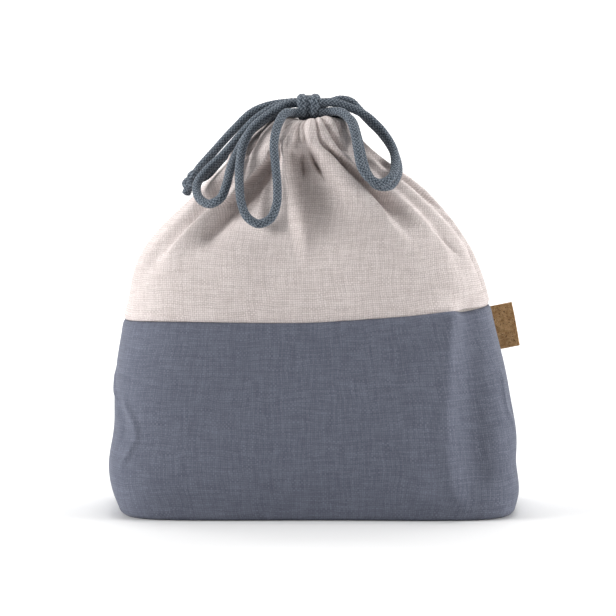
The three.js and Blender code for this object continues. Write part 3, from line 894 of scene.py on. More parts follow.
class Drape:
    """How the cloth departs from the bag's smooth form."""

    MAIN = MainFolds()
    CREASES = (
        # front, from the right seam to the left one: the grooves between the pleats of the neck
        Fold(((0.18, 207), (0.2, 198.5), (0.25, 190)), -2.4, 1.1, fade=5, pinch=1.0),
        Fold(((0.272, 207), (0.28, 196.5), (0.282, 188)), -2.8, 1.2, fade=5, pinch=1.0),
        Fold(((0.415, 207), (0.385, 197.5), (0.355, 193.5), (0.325, 189.5), (0.29, 183)),
             -4.6, 1.3, fade=5, pinch=1.0),
        Fold(((0.5, 207), (0.455, 196), (0.427, 190.5), (0.385, 184)), -4.6, 1.5, fade=5, pinch=1.0),
        Fold(((0.62, 207), (0.562, 196.5), (0.512, 189.5), (0.482, 185), (0.463, 180), (0.44, 170)),
             -5.0, 1.3, fade=8, pinch=1.0),
        Fold(((0.53, 193), (0.512, 189.5), (0.482, 185), (0.463, 180), (0.445, 173)),
             -5.0, 1.8, fade=6, pinch=1.0),
        Fold(((0.67, 207), (0.585, 194), (0.545, 187.5), (0.532, 181), (0.525, 170)),
             -5.0, 1.3, fade=8, pinch=1.0),
        Fold(((0.565, 193), (0.545, 187.5), (0.532, 181), (0.527, 173)), -5.0, 1.8, fade=6, pinch=1.0),
        Fold(((0.69, 207), (0.72, 192)), -2.4, 1.0, fade=5, pinch=1.0),
        Fold(((1.0, 200), (0.908, 193.5), (0.842, 189), (0.838, 184.5), (0.86, 180), (0.875, 168)),
             -2.4, 1.0, fade=6, pinch=1.0),
        # the pocket between the two strands of the long loop, and its edge
        Fold(((0.672, 188), (0.694, 184), (0.711, 180), (0.725, 177), (0.737, 174), (0.756, 168),
              (0.78, 156)), -7.0, 1.2, 5.0, fade=6, pinch=1.2),
        Fold(((0.672, 187), (0.695, 180), (0.715, 174), (0.73, 166), (0.745, 150), (0.757, 134)),
             -6.0, 4.5, 6.0, fade=11),
        # the left shoulder, which fills up to the strands
        Fold(((1.0, 214), (1.0, 178)), 6.0, 10, fade=10),
        # the right shoulder: a short crease, and the edge of the back panel beside the outline
        Fold(((0.166, 152), (0.143, 140), (0.116, 130)), -1.6, 1.8, fade=6, pinch=1.2),
        Fold(((0.1, 175), (0.074, 161), (0.03, 149)), -1.8, 1.0, fade=6, pinch=1.0),
        Fold(((0.03, 146), (0.045, 138), (0.066, 131), (0.075, 116), (0.07, 104)),
             -1.8, 1.0, fade=6, pinch=1.0),
        # back
        Fold(((1.33, 207), (1.35, 192), (1.36, 176)), -4.2, 1.7, fade=6, pinch=1.2),
        Fold(((1.44, 207), (1.44, 188), (1.45, 168)), -4.8, 1.8, fade=8, pinch=1.2),
        Fold(((1.56, 207), (1.555, 188), (1.55, 168)), -4.6, 1.7, fade=8, pinch=1.2),
        Fold(((1.66, 207), (1.65, 192), (1.64, 176)), -4.2, 1.6, fade=6, pinch=1.2),
    )
    OVERLAPS = (
        # pleat edges that lean over their valleys: the pocket's edge and the long edge in the middle
        Fold(((0.71, 188), (0.73, 184), (0.747, 180), (0.76, 177), (0.771, 174), (0.791, 168), (0.82, 156)),
             3.6, 3.0, fade=7),
        Fold(((0.43, 190), (0.383, 180), (0.343, 170), (0.309, 160), (0.282, 150)), 2.4, 3.0, fade=8),
    )
    LOWER_FOLDS = (
        # front: the box corner on the right, creases by both seams, dents over the base
        Fold(((0.213, 130), (0.214, 106), (0.238, 87), (0.261, 58), (0.271, 34), (0.258, 16), (0.228, 2)),
             4.2, 13.0, 6.5, fade=14),
        Fold(((0.155, 125), (0.159, 106), (0.178, 87), (0.2, 58), (0.21, 34), (0.198, 12)),
             -3.4, 9.0, 10.0, fade=14),
        Fold(((0.11, 78), (0.118, 66), (0.122, 57), (0.112, 49), (0.09, 42)), 1.2, 1.7, fade=8),
        Fold(((0.06, 74), (0.07, 60), (0.09, 48)), -1.4, 3.0, fade=8),
        Fold(((0.955, 76), (0.93, 66), (0.878, 56)), 1.1, 2.2, fade=7),
        Fold(((0.87, 66), (0.86, 59.5), (0.833, 49.5), (0.823, 42.5), (0.833, 35.5), (0.858, 22)),
             1.1, 2.4, fade=9),
        Fold(((0.89, 62), (0.86, 48), (0.85, 36)), -1.2, 3.8, fade=10),
        Fold(((1.0, 114), (1.0, 66)), 1.1, 24, fade=14),
        Fold(((0.74, 18), (0.74, -14)), -1.4, 16, fade=12),
        Fold(((0.46, 16), (0.46, -14)), -0.8, 22, fade=12),
        # back
        Fold(((1.2, 140), (1.2, 101), (1.22, 60), (1.24, 6)), 2.6, 9, fade=18),
        Fold(((1.8, 140), (1.8, 101), (1.78, 60), (1.76, 6)), 2.6, 9, fade=18),
        Fold(((1.36, 80), (1.34, 60), (1.35, 36)), -1.0, 10, fade=14),
        Fold(((1.62, 18), (1.62, -14)), -1.2, 18, fade=12),
    )
    GATHERS = (Gathers(12, 4.6, 1.4, 164, 184, 3.03), Gathers(18, 1.2, 3.4, 178, 190, 1.2))
    FOOT_FULLNESS = (4.8, 2.0)
    # how the seams draw the cloth in: the end of the bag, the depth, the height and the spread of each tuck
    TUCKS = ((1, 1.0, 56.0, 16.0), (1, 2.0, 24.0, 13.0), (-1, 3.2, 44.0, 16.0))
    SEAM_SINK = 0.9
    SEAM_WIDTH = 1.5
    SEAM_END = (165.0, 140.0)
    CASING_DEPTH = 3.2
    CASING_HOLD = (179.0, 188.5)
    PLEAT_PUFF = 1.9
    PLEAT_HEIGHTS = (176.0, 190.0)
    FREE_DEPTH = 20.0
    FRONT_ROOM = 1.2
    SIDE_ROOM = 7.0
    ROOM_HEIGHTS = (120.0, 150.0)
    CALM_HEIGHTS = (BagForm.BAND, BagForm.BAND + 16)
    # the gathers are weaker beside the seams, and on the front, whose pleats have folds of their own
    SIDE_GATHERS = 0.4
    FRONT_LOSS = 0.75
    FRONT_EDGES = ((0.05, 0.2), (1.0, 0.9))
    RIPPLE_RISE = 0.3
    RIM_RISE = (
        (0, 1.0), (0.1, 1.5), (0.25, 2.1), (0.34, 2.4), (0.42, 2.0), (0.5, 1.4),
        (0.68, 0.4), (0.8, 0.8), (0.95, 1.5), (1.1, 1.0), (1.5, 0.4), (2, 1.0),
    )

    def __init__(self, form: BagForm) -> None:
        """Keeps the form that the cloth is laid over."""
        self.form = form

    def seams(self, share: np.ndarray, height: np.ndarray) -> np.ndarray:
        """Gives how far the cloth sinks at the side seams and at the band seam.

        Args:
            share: Shares of the way round.
            height: Heights in millimetres.

        Returns:
            The lift in millimetres, 0 or less.
        """
        beside = (np.mod(share + 0.5, 1) - 0.5) * self.form.half_round(height)
        side = np.exp(-((beside / self.SEAM_WIDTH) ** 2)) * smoothstep(*self.SEAM_END, height)
        band = np.exp(-(((height - self.form.band(share)) / self.SEAM_WIDTH) ** 2))
        return -self.SEAM_SINK * np.maximum(side, band)

    def _total(self, folds: Sequence[Fold], share: np.ndarray, height: np.ndarray) -> np.ndarray:
        """Adds up the lifts of folds, in millimetres."""
        return sum(fold.lift(self.form, share, height) for fold in folds)

    def upper(self, share: np.ndarray, height: np.ndarray) -> np.ndarray:
        """Gives how far the upper cloth stands out from the form.

        Args:
            share: Shares of the way round.
            height: Heights in millimetres.

        Returns:
            The lift in millimetres.
        """
        face = np.abs(np.sin(math.pi * share))
        lift = self.MAIN.lift(share, height) + self._total(self.CREASES, share, height)
        neck_share = self.MAIN.neck_share(share, height)
        right, left = self.FRONT_EDGES
        turn = np.mod(share, 2.0)
        front = smoothstep(*right, turn) * smoothstep(*left, turn)
        strength = (self.SIDE_GATHERS + (1 - self.SIDE_GATHERS) * face) * (1 - self.FRONT_LOSS * front)
        lift = lift + sum(row.lift(neck_share, height) for row in self.GATHERS) * strength
        lift = lift + self.RIPPLE_RISE * ripple(share, height, length=34, seed=11)
        puff = self.PLEAT_PUFF * face * smoothstep(*self.PLEAT_HEIGHTS, height)
        lift = lift + puff
        narrowed = face * smoothstep(*self.ROOM_HEIGHTS, height)
        room = self.SIDE_ROOM + (self.FRONT_ROOM - self.SIDE_ROOM) * narrowed + puff
        held = smoothstep(*self.CASING_HOLD, height)
        deepest = self.FREE_DEPTH + (self.CASING_DEPTH - self.FREE_DEPTH) * held
        lift = np.where(lift > 0, room * np.tanh(lift / room), deepest * np.tanh(lift / deepest))
        calm = smoothstep(*self.CALM_HEIGHTS, height)
        return lift * calm + self.corner(share, height) * (1 - calm) + self.seams(share, height)

    def corner(self, share: np.ndarray, height: np.ndarray) -> np.ndarray:
        """Gives how far the lower cloth stands out from the form, before its seams.

        Args:
            share: Shares of the way round.
            height: Heights in millimetres.

        Returns:
            The lift in millimetres.
        """
        lift = self._total(self.LOWER_FOLDS, share, height)
        across = np.cos(math.pi * share)
        for end, depth, level, spread in self.TUCKS:
            bell = np.exp(-(((height - level) / spread) ** 2))
            lift = lift - depth * np.maximum(end * across, 0) ** 2 * bell
        return lift + self.RIPPLE_RISE * ripple(share, height, length=60, seed=5)

    def overlap(self, share: np.ndarray, height: np.ndarray) -> np.ndarray:
        """Gives how far the upper cloth leans over towards the right seam, in millimetres."""
        return self._total(self.OVERLAPS, share, height)

    def foot(self, share: np.ndarray) -> np.ndarray:
        """Gives how much fuller the cloth stands over the base at both ends.

        Args:
            share: Shares of the way round.

        Returns:
            The lift in millimetres.
        """
        across = np.cos(math.pi * share)
        right, left = self.FOOT_FULLNESS
        return np.where(across > 0, right, left) * across**2

    def rim_rise(self, share: np.ndarray) -> np.ndarray:
        """Gives how far the strings draw the rim up, in millimetres."""
        shares, rises = zip(*self.RIM_RISE)
        return np.interp(np.mod(share, 2.0), shares, rises)

    def lower(self, share: np.ndarray, height: np.ndarray) -> np.ndarray:
        """Gives the lift of the lower cloth, in millimetres."""
        return self.corner(share, height) + self.seams(share, height)


class Side(Enum):
    """A face of the bag: its first and last share of the way round."""

    FRONT = (0.0, 1.0)
    BACK = (1.0, 2.0)


@dataclass
class ClothBody:
    """The sewn cloth: base, lower panels, upper panels with their casings, and the seam tapes inside.

    Flat sizes are in metres and all other sizes in millimetres.
    """

    form: BagForm
    drape: Drape
    cloth: float = 1.0
    base_flat: Pair = (0.196, 0.098)
    lower_flat: Pair = (0.287, 0.104)
    upper_flat: Pair = (0.2505, 0.138)
    upper_area: float = 0.0290
    columns: int = 280
    foot_rows: int = 8
    lower_rows: int = 110
    upper_rows: int = 100
    casing_rows: int = 16
    roll_rows: int = 12
    inside_rows: int = 10
    base_rings: int = 26
    base_roll: float = 3.0
    base_lap: float = 0.6
    base_lift: float = 0.35
    base_wave: float = 0.25
    base_least: float = 0.1
    base_half_width: float = 120.0
    foot_calm: Pair = (-1.0, 10.0)
    foot_full: Pair = (30.0, 8.0)
    foot_level: Pair = (24.0, 6.0)
    hem_half: float = 5.2
    hem_crown: float = 3.2
    hem_turned_in: float = 4.0
    rim_smoothing: float = 0.4
    rim_full: float = 4.0
    rim_wave: float = 0.3
    rim_wave_reach: float = 9.0
    tape: float = 0.8
    tape_gap: float = 0.7
    tape_width: float = 8.0
    tape_half_round: float = 260.0
    seam_half_round: float = 270.0
    band_tape_end: float = 0.02
    seam_tape_heights: Pair = (8.0, 126.0)
    base_tape_heights: Pair = (1.6, 7.6)

    def _panel(self, name: str, share: np.ndarray, height: np.ndarray, inset: np.ndarray, lift: np.ndarray,
               width: Any, level: Any = 0.0) -> bpy.types.Object:
        """Lofts one cloth panel and gives it thickness.

        Args:
            name: Name of the piece.
            share: Shares of the way round, one grid.
            height: Heights in millimetres.
            inset: Insets in millimetres.
            lift: How far the cloth moves out, in millimetres.
            width: Width of the cloth in metres, at each height or everywhere.
            level: How far the lift is turned level, from 0 to 1.

        Returns:
            The panel.
        """
        points = self.form.shell(share, height, inset, lift, level)
        rows, columns = share.shape
        middle = points[:, columns // 2]
        climb = run_along(middle)
        across = (share - share[:, columns // 2, None]) * width
        uv = np.stack([across, np.broadcast_to(climb[:, None], across.shape)], axis=-1)
        piece = make_mesh(name, points.reshape(-1, 3), grid_faces(rows, columns), uv.reshape(-1, 2))
        apply_modifier(piece, "SOLIDIFY", thickness=self.cloth * MM, offset=-1.0)
        LOG.info("%s: %d x %d points, %.0f mm up the middle", name, rows, columns, 1000 * climb[-1])
        return piece

    def lower_panel(self, name: str, side: Side) -> bpy.types.Object:
        """Builds the coloured lower cloth of one side, turned under at the base.

        Args:
            name: Name of the piece.
            side: Front or back.

        Returns:
            The panel.
        """
        share = np.linspace(*side.value, self.columns + 1)[None, :]
        turn = np.linspace(0, math.pi / 2, self.foot_rows)[:-1, None]
        roll = self.base_roll
        foot = np.broadcast_to(roll * (1 - np.cos(turn)), (len(turn), share.shape[1]))
        foot_inset = np.broadcast_to(roll * (1 - np.sin(turn)), foot.shape)
        rise = np.linspace(0, 1, self.lower_rows)[:, None]
        wall = roll + (self.form.band(share) - roll) * rise
        height = np.concatenate([foot, wall])
        inset = np.concatenate([foot_inset, np.zeros_like(wall)])
        shares = np.broadcast_to(share, height.shape)
        lift = self.drape.lower(shares, height) * smoothstep(*self.foot_calm, height)
        lift = lift + self.drape.foot(shares) * smoothstep(*self.foot_full, height)
        level = smoothstep(*self.foot_level, height)
        return self._panel(name, shares, height, inset, lift, self.lower_flat[0], level)

    def upper_panel(self, name: str, side: Side) -> bpy.types.Object:
        """Builds the natural upper cloth of one side, gathered, rolled over at the rim and turned in.

        Args:
            name: Name of the piece.
            side: Front or back.

        Returns:
            The panel.
        """
        form = self.form
        share = np.linspace(*side.value, self.columns + 1)[None, :]
        foot = form.band(share)
        rise = np.linspace(0, 1, self.upper_rows)[:-1, None]
        wall = foot + (form.NECK - foot) * rise
        top = form.RIM - self.hem_crown
        hem = np.linspace(form.NECK, top, self.casing_rows)[:-1, None]
        turn = np.linspace(0, math.pi, self.roll_rows)[:, None]
        inside = np.linspace(top, form.NECK - self.hem_turned_in, self.inside_rows)[1:, None]
        wide = np.ones_like(share)
        crown = top + self.hem_crown * np.sin(turn)
        height = np.concatenate([wall, hem * wide, crown * wide, inside * wide])
        inset = np.concatenate([
            np.zeros_like(wall),
            np.zeros_like(hem) * wide,
            self.hem_half * (1 - np.cos(turn)) * wide,
            np.full_like(inside, 2 * self.hem_half) * wide,
        ])
        shares = np.broadcast_to(share, height.shape)
        row = np.arange(height.shape[0])[:, None]
        over_rim = smoothstep(0, self.roll_rows - 1, row - len(wall) - len(hem))
        lift = self.drape.upper(shares, height) * (1 - self.rim_smoothing * over_rim)
        placed = shares - self.drape.overlap(shares, height) / form.half_round(height)
        drawn = self.drape.rim_rise(shares) * smoothstep(form.NECK, form.RIM - self.rim_full, height)
        waved = self.rim_wave * lift * smoothstep(form.RIM - self.rim_wave_reach, form.RIM, height)
        height = height + drawn + waved
        return self._panel(name, placed, height, inset, lift, form.half_round(height) * MM, level=1.0)

    def base_panel(self, name: str) -> bpy.types.Object:
        """Builds the flat base cloth, a little wavy at its sewn edge.

        Args:
            name: Name of the piece.

        Returns:
            The panel.
        """
        rings = np.linspace(1, 0, self.base_rings)[:-1, None]
        share = np.linspace(0, 2, 2 * self.columns + 1)[None, :-1]
        inset = self.base_roll - self.base_lap - self.drape.foot(share)
        outline = self.form.points(share, np.zeros_like(share), inset)[0]
        x = outline[None, :, 0] * rings
        y = outline[None, :, 1] * rings
        wave = self.base_wave * ripple(x / self.base_half_width, y, length=70, seed=3) * (1 - rings)
        z = np.maximum(self.base_lift + wave, self.base_least)
        points = np.stack([x, y, z], axis=-1).reshape(-1, 3) * MM
        numbers = np.arange(len(points)).reshape(x.shape)
        after = np.roll(numbers, -1, axis=1)
        quads = np.stack([numbers[:-1], numbers[1:], after[1:], after[:-1]], axis=-1).reshape(-1, 4).tolist()
        points = np.concatenate([points, [[0.0, 0.0, self.base_lift * MM]]])
        quads += [[int(a), len(points) - 1, int(b)] for a, b in zip(numbers[-1], after[-1])]
        piece = make_mesh(name, points, quads, points[:, :2])
        apply_modifier(piece, "SOLIDIFY", thickness=self.cloth * MM, offset=1.0)
        return piece

    def strip(self, name: str, shares: Pair, edges: Callable[[np.ndarray], tuple[Any, Any]], columns: int,
              rows: int) -> bpy.types.Object:
        """Builds a seam tape that follows the inside of the lower cloth.

        Args:
            name: Name of the piece.
            shares: First and last share of the way round.
            edges: Gives the heights of the lower and the upper edge for shares round the bag.
            columns: Number of steps along the bag.
            rows: Number of steps up.

        Returns:
            The tape.
        """
        share = np.linspace(*shares, columns + 1)[None, :]
        rise = np.linspace(0, 1, rows + 1)[:, None]
        low, high = edges(share)
        height = low + (high - low) * rise + np.zeros_like(share)
        grid = np.broadcast_to(share, height.shape)
        inset = np.full_like(height, self.cloth + self.tape_gap)
        points = self.form.shell(grid, height, inset, np.minimum(self.drape.corner(grid, height), 0.0))
        lengths = np.stack([grid * self.tape_half_round, height], axis=-1) * MM
        piece = make_mesh(name, points.reshape(-1, 3), grid_faces(*grid.shape), lengths.reshape(-1, 2))
        apply_modifier(piece, "SOLIDIFY", thickness=self.tape * MM, offset=-1.0)
        return piece

    def build(self) -> None:
        """Builds and dresses all the cloth, and lets each piece but the back upper cloth ride on its body."""
        blue, natural, tape = BLUE_CANVAS.material(), LINEN_CANVAS.material(), SEAM_TAPE.material()
        base = self.base_panel("base_cloth")
        dress(base, blue, "lower_cloth", "bag", "base_panel")
        for side, word in ((Side.FRONT, "front"), (Side.BACK, "back")):
            lower = self.lower_panel(f"{word}_lower_cloth", side)
            dress(lower, blue, "lower_cloth", "bag", f"{word}_lower_panel")
            upper = self.upper_panel(f"{word}_upper_cloth", side)
            dress(upper, natural, "upper_cloth", "bag" if side is Side.FRONT else None,
                  f"{word}_upper_panel", f"{word}_casing")
            if side is Side.BACK:
                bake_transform(upper)
        half = self.tape_width / 2
        band = self.form.band
        for side, word in ((Side.FRONT, "front"), (Side.BACK, "back")):
            ends = (side.value[0] + self.band_tape_end, side.value[1] - self.band_tape_end)
            piece = self.strip(f"{word}_band_tape", ends, lambda s: (band(s) - half, band(s) + half),
                               columns=120, rows=4)
            dress(piece, tape, "binding_tape", "bag", f"{word}_band_binding")
        beside = half / self.seam_half_round
        for middle, word in ((0.0, "right"), (1.0, "left")):
            piece = self.strip(f"{word}_seam_tape", (middle - beside, middle + beside),
                               lambda s: self.seam_tape_heights, columns=6, rows=60)
            dress(piece, tape, "binding_tape", "bag", f"{word}_seam_binding")
        piece = self.strip("base_seam_tape", (0.0, 2.0), lambda s: self.base_tape_heights,
                           columns=240, rows=3)
        dress(piece, tape, "binding_tape", "bag", "base_seam_binding")


def dress(
    piece: bpy.types.Object, material: bpy.types.Material, slot: str, body: str | None, *nodes: str
) -> None:
    """Gives a piece its finish, its body and the solids that it stands for.

    Args:
        piece: The piece.
        material: Its finish.
        slot: Not used.
        body: The body that it rides on, or None where it is left unattached.
        nodes: The solids that it stands for.
    """
    piece.data.materials.clear()
    piece.data.materials.append(material)
    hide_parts(*nodes)
    if body is not None:
        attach(piece, body)
    LOG.info("%s stands for %s", piece.name, ", ".join(nodes))


def smooth_line(points: Sequence[Point], step: float) -> np.ndarray:
    """Runs a smooth line through points, with even steps.

    Args:
        points: Points that the line passes through.
        step: Distance between its points.

    Returns:
        The line's points, one row each.
    """
    fine_steps = 24
    p = np.array(points, float)
    gap = np.sqrt(np.linalg.norm(np.diff(p, axis=0), axis=1))
    slope = np.diff(p, axis=0) / gap[:, None]
    tangent = np.empty_like(p)
    tangent[0], tangent[-1] = slope[0], slope[-1]
    weight = (gap[1:] / (gap[:-1] + gap[1:]))[:, None]
    tangent[1:-1] = slope[:-1] * weight + slope[1:] * (1 - weight)
    line = []
    for i, span in enumerate(gap):
        u = np.linspace(0, 1, fine_steps, endpoint=i == len(gap) - 1)[:, None]
        v = 1 - u
        line.append((1 + 2 * u) * v * v * p[i] + (3 - 2 * u) * u * u * p[i + 1]
                    + u * v * span * (v * tangent[i] - u * tangent[i + 1]))
    fine = np.concatenate(line)
    run = run_along(fine)
    at = np.linspace(0, run[-1], max(3, round(run[-1] / step) + 1))
    return np.stack([np.interp(at, run, fine[:, k]) for k in range(3)], axis=1)


@dataclass(frozen=True)
class CordTube:
    """A round braided cord as a mesh: its picks stand proud in two crossing spirals."""

    radius: float = CORD_RADIUS
    sides: int = 20
    step: float = 0.36 * MM
    picks_round: int = 4
    pick_length: float = 2.7 * MM
    pick_height: float = 0.085
    tip: float = 0.35

    STEEP = 0.9

    def mesh(self, line: np.ndarray, side: Point | None = None, widen: float = 1.0) -> Swept:
        """Sweeps the cord along a line.

        Args:
            line: Points of the middle of the cord, one row each.
            side: Direction in which the cord is widened.
            widen: How many times wider it is in that direction.

        Returns:
            Points, faces and thread coordinates.
        """
        ahead = unit(np.gradient(line, axis=0))
        current = np.array(side if side else (0.0, 0.0, 1.0))
        if side is None and abs(ahead[0] @ current) > self.STEEP:
            current = np.array((0.0, 1.0, 0.0))
        across = np.empty_like(line)
        for i, direction in enumerate(ahead):
            current = unit(current - direction * (current @ direction))
            across[i] = current
        beside = np.cross(ahead, across)
        run = run_along(line)
        turn = np.linspace(0, 2 * math.pi, self.sides + 1)
        wave = 2 * math.pi * run[:, None] / self.pick_length
        picks = np.sin(self.picks_round * turn + wave) * np.sin(self.picks_round * turn - wave)
        reach = self.radius * (1 + self.pick_height * picks)
        points = (line[:, None, :] + (reach * np.cos(turn) * widen)[..., None] * across[:, None, :]
                  + (reach * np.sin(turn))[..., None] * beside[:, None, :])
        uv = np.stack(np.broadcast_arrays(run[:, None], turn * self.radius), axis=-1)
        rows, columns = len(line), self.sides + 1
        numbers = np.arange(rows * columns).reshape(rows, columns)
        quads = np.stack([numbers[:-1, :-1], numbers[:-1, 1:], numbers[1:, 1:], numbers[1:, :-1]], axis=-1)
        faces = quads.reshape(-1, 4).tolist()
        points, uv = points.reshape(-1, 3), uv.reshape(-1, 2)
        for row, sign in ((0, -1), (rows - 1, 1)):
            tip = line[row] + sign * self.tip * self.radius * ahead[row]
            points = np.concatenate([points, tip[None]])
            uv = np.concatenate([uv, [[run[row], 0.0]]])
            ring = numbers[row]
            for a, b in zip(ring[:-1], ring[1:]):
                edge = [int(b), int(a)] if sign < 0 else [int(a), int(b)]
                faces.append(edge + [len(points) - 1])
        return points, faces, uv

    def piece(self, name: str, runs: Sequence[Swept]) -> bpy.types.Object:
        """Makes one piece of one or more swept runs, with the seams along them closed.

        Args:
            name: Name of the piece.
            runs: What mesh() gave for each run.

        Returns:
            The piece.
        """
        points, faces, uv, count = [], [], [], 0
        for run_points, run_faces, run_uv in runs:
            points.append(run_points)
            uv.append(run_uv)
            faces += [[i + count for i in face] for face in run_faces]
            count += len(run_points)
        piece = make_mesh(name, np.concatenate(points), faces, np.concatenate(uv))
        apply_modifier(piece, "WELD", merge_threshold=1e-7)
        return piece


@dataclass(frozen=True)
class Strand:
    """One strand of the bow: its centre line from the middle of the rim, in metres, and its real length.

    The way out is how it leaves the knot, as a direction with a part to the side and a part to the front.
    """

    name: str
    node: str
    body: str
    length: float
    route: tuple[Point, ...]
    way_out: Pair = (1.0, 0.0)


RIM_MIDDLE = np.array((0.0, 0.0, 0.201))

LOOPS = (
    Strand("long_left_loop", "left_loop_long", "left_bow", 0.173, (
        (-0.0088, -0.0050, 0.0090), (-0.0116, -0.0052, 0.0089), (-0.0160, -0.0066, 0.0077),
        (-0.0240, -0.0108, 0.0030), (-0.0322, -0.0152, -0.0040), (-0.0366, -0.0208, -0.0126),
        (-0.0382, -0.0270, -0.0218), (-0.0382, -0.0336, -0.0317), (-0.0372, -0.0380, -0.0406),
        (-0.0342, -0.0412, -0.0476), (-0.0286, -0.0428, -0.0510), (-0.0226, -0.0426, -0.0486),
        (-0.0194, -0.0404, -0.0416), (-0.0190, -0.0370, -0.0326), (-0.0200, -0.0330, -0.0217),
        (-0.0208, -0.0282, -0.0116), (-0.0190, -0.0208, -0.0022), (-0.0152, -0.0132, 0.0039),
        (-0.0116, -0.0094, 0.0042), (-0.0088, -0.0088, 0.0041),
    ), (0.8, 0.6)),
    Strand("short_left_loop", "left_loop_short", "left_bow", 0.177, (
        (-0.0088, 0.0004, 0.0092), (-0.0116, 0.0004, 0.0091), (-0.0165, 0.0002, 0.0082),
        (-0.0232, -0.0004, 0.0056), (-0.0309, -0.0018, 0.0004), (-0.0389, -0.0040, -0.0081),
        (-0.0476, -0.0070, -0.0178), (-0.0556, -0.0110, -0.0254), (-0.0604, -0.0168, -0.0324),
        (-0.0589, -0.0244, -0.0390), (-0.0534, -0.0306, -0.0416), (-0.0478, -0.0328, -0.0386),
        (-0.0450, -0.0298, -0.0322), (-0.0430, -0.0234, -0.0240), (-0.0398, -0.0164, -0.0162),
        (-0.0334, -0.0098, -0.0058), (-0.0244, -0.0054, 0.0014), (-0.0160, -0.0036, 0.0032),
        (-0.0116, -0.0033, 0.0036), (-0.0088, -0.0032, 0.0036),
    )),
    Strand("front_right_loop", "right_loop_front", "right_bow", 0.144, (
        (0.0059, -0.0086, 0.0046), (0.0086, -0.0092, 0.0048), (0.0132, -0.0134, 0.0046),
        (0.0178, -0.0202, 0.0008), (0.0202, -0.0264, -0.0060), (0.0216, -0.0320, -0.0142),
        (0.0234, -0.0366, -0.0226), (0.0272, -0.0388, -0.0282), (0.0329, -0.0382, -0.0308),
        (0.0384, -0.0350, -0.0282), (0.0408, -0.0256, -0.0218), (0.0396, -0.0158, -0.0134),
        (0.0340, -0.0098, -0.0046), (0.0262, -0.0078, 0.0026), (0.0180, -0.0074, 0.0068),
        (0.0110, -0.0078, 0.0090), (0.0086, -0.0080, 0.0094), (0.0059, -0.0080, 0.0095),
    ), (0.8, 0.6)),
    Strand("back_right_loop", "right_loop_back", "right_bow", 0.153, (
        (0.0059, -0.0028, 0.0092), (0.0086, -0.0026, 0.0096), (0.0130, -0.0020, 0.0108),
        (0.0186, -0.0016, 0.0096), (0.0226, -0.0015, 0.0056), (0.0274, -0.0018, 0.0004),
        (0.0340, -0.0028, -0.0062), (0.0396, -0.0050, -0.0140), (0.0424, -0.0118, -0.0220),
        (0.0416, -0.0224, -0.0284), (0.0374, -0.0306, -0.0326), (0.0312, -0.0332, -0.0320),
        (0.0262, -0.0318, -0.0256), (0.0236, -0.0272, -0.0168), (0.0216, -0.0204, -0.0078),
        (0.0190, -0.0134, -0.0002), (0.0145, -0.0076, 0.0029), (0.0086, -0.0032, 0.0038),
        (0.0059, -0.0028, 0.0038),
    )),
)
TAILS = (
    Strand("upper_left_tail", "left_tail_upper", "left_tail", 0.073, (
        (-0.0088, 0.0059, 0.0094), (-0.0120, 0.0059, 0.0093), (-0.0233, 0.0060, 0.0078),
        (-0.0326, 0.0060, 0.0041), (-0.0425, 0.0060, -0.0052), (-0.0529, 0.0060, -0.0166),
        (-0.0606, 0.0056, -0.0254),
    )),
    Strand("lower_left_tail", "left_tail_lower", "left_tail", 0.069, (
        (-0.0088, 0.0059, 0.0042), (-0.0120, 0.0062, 0.0040), (-0.0220, 0.0075, 0.0028),
        (-0.0305, 0.0082, -0.0010), (-0.0398, 0.0084, -0.0104), (-0.0494, 0.0086, -0.0211),
        (-0.0575, 0.0090, -0.0294),
    )),
    Strand("outer_right_tail", "right_tail_outer", "back_lip", 0.070, (
        (0.0059, 0.0039, 0.0092), (0.0094, 0.0045, 0.0096), (0.0136, 0.0110, 0.0094),
        (0.0164, 0.0210, 0.0026), (0.0208, 0.0290, -0.0096), (0.0262, 0.0350, -0.0226),
        (0.0295, 0.0380, -0.0302),
    )),
    Strand("inner_right_tail", "right_tail_inner", "back_lip", 0.070, (
        (0.0059, 0.0039, 0.0039), (0.0090, 0.0046, 0.0041), (0.0116, 0.0120, 0.0046),
        (0.0106, 0.0228, 0.0014), (0.0134, 0.0310, -0.0110), (0.0192, 0.0366, -0.0243),
        (0.0238, 0.0390, -0.0315),
    )),
)


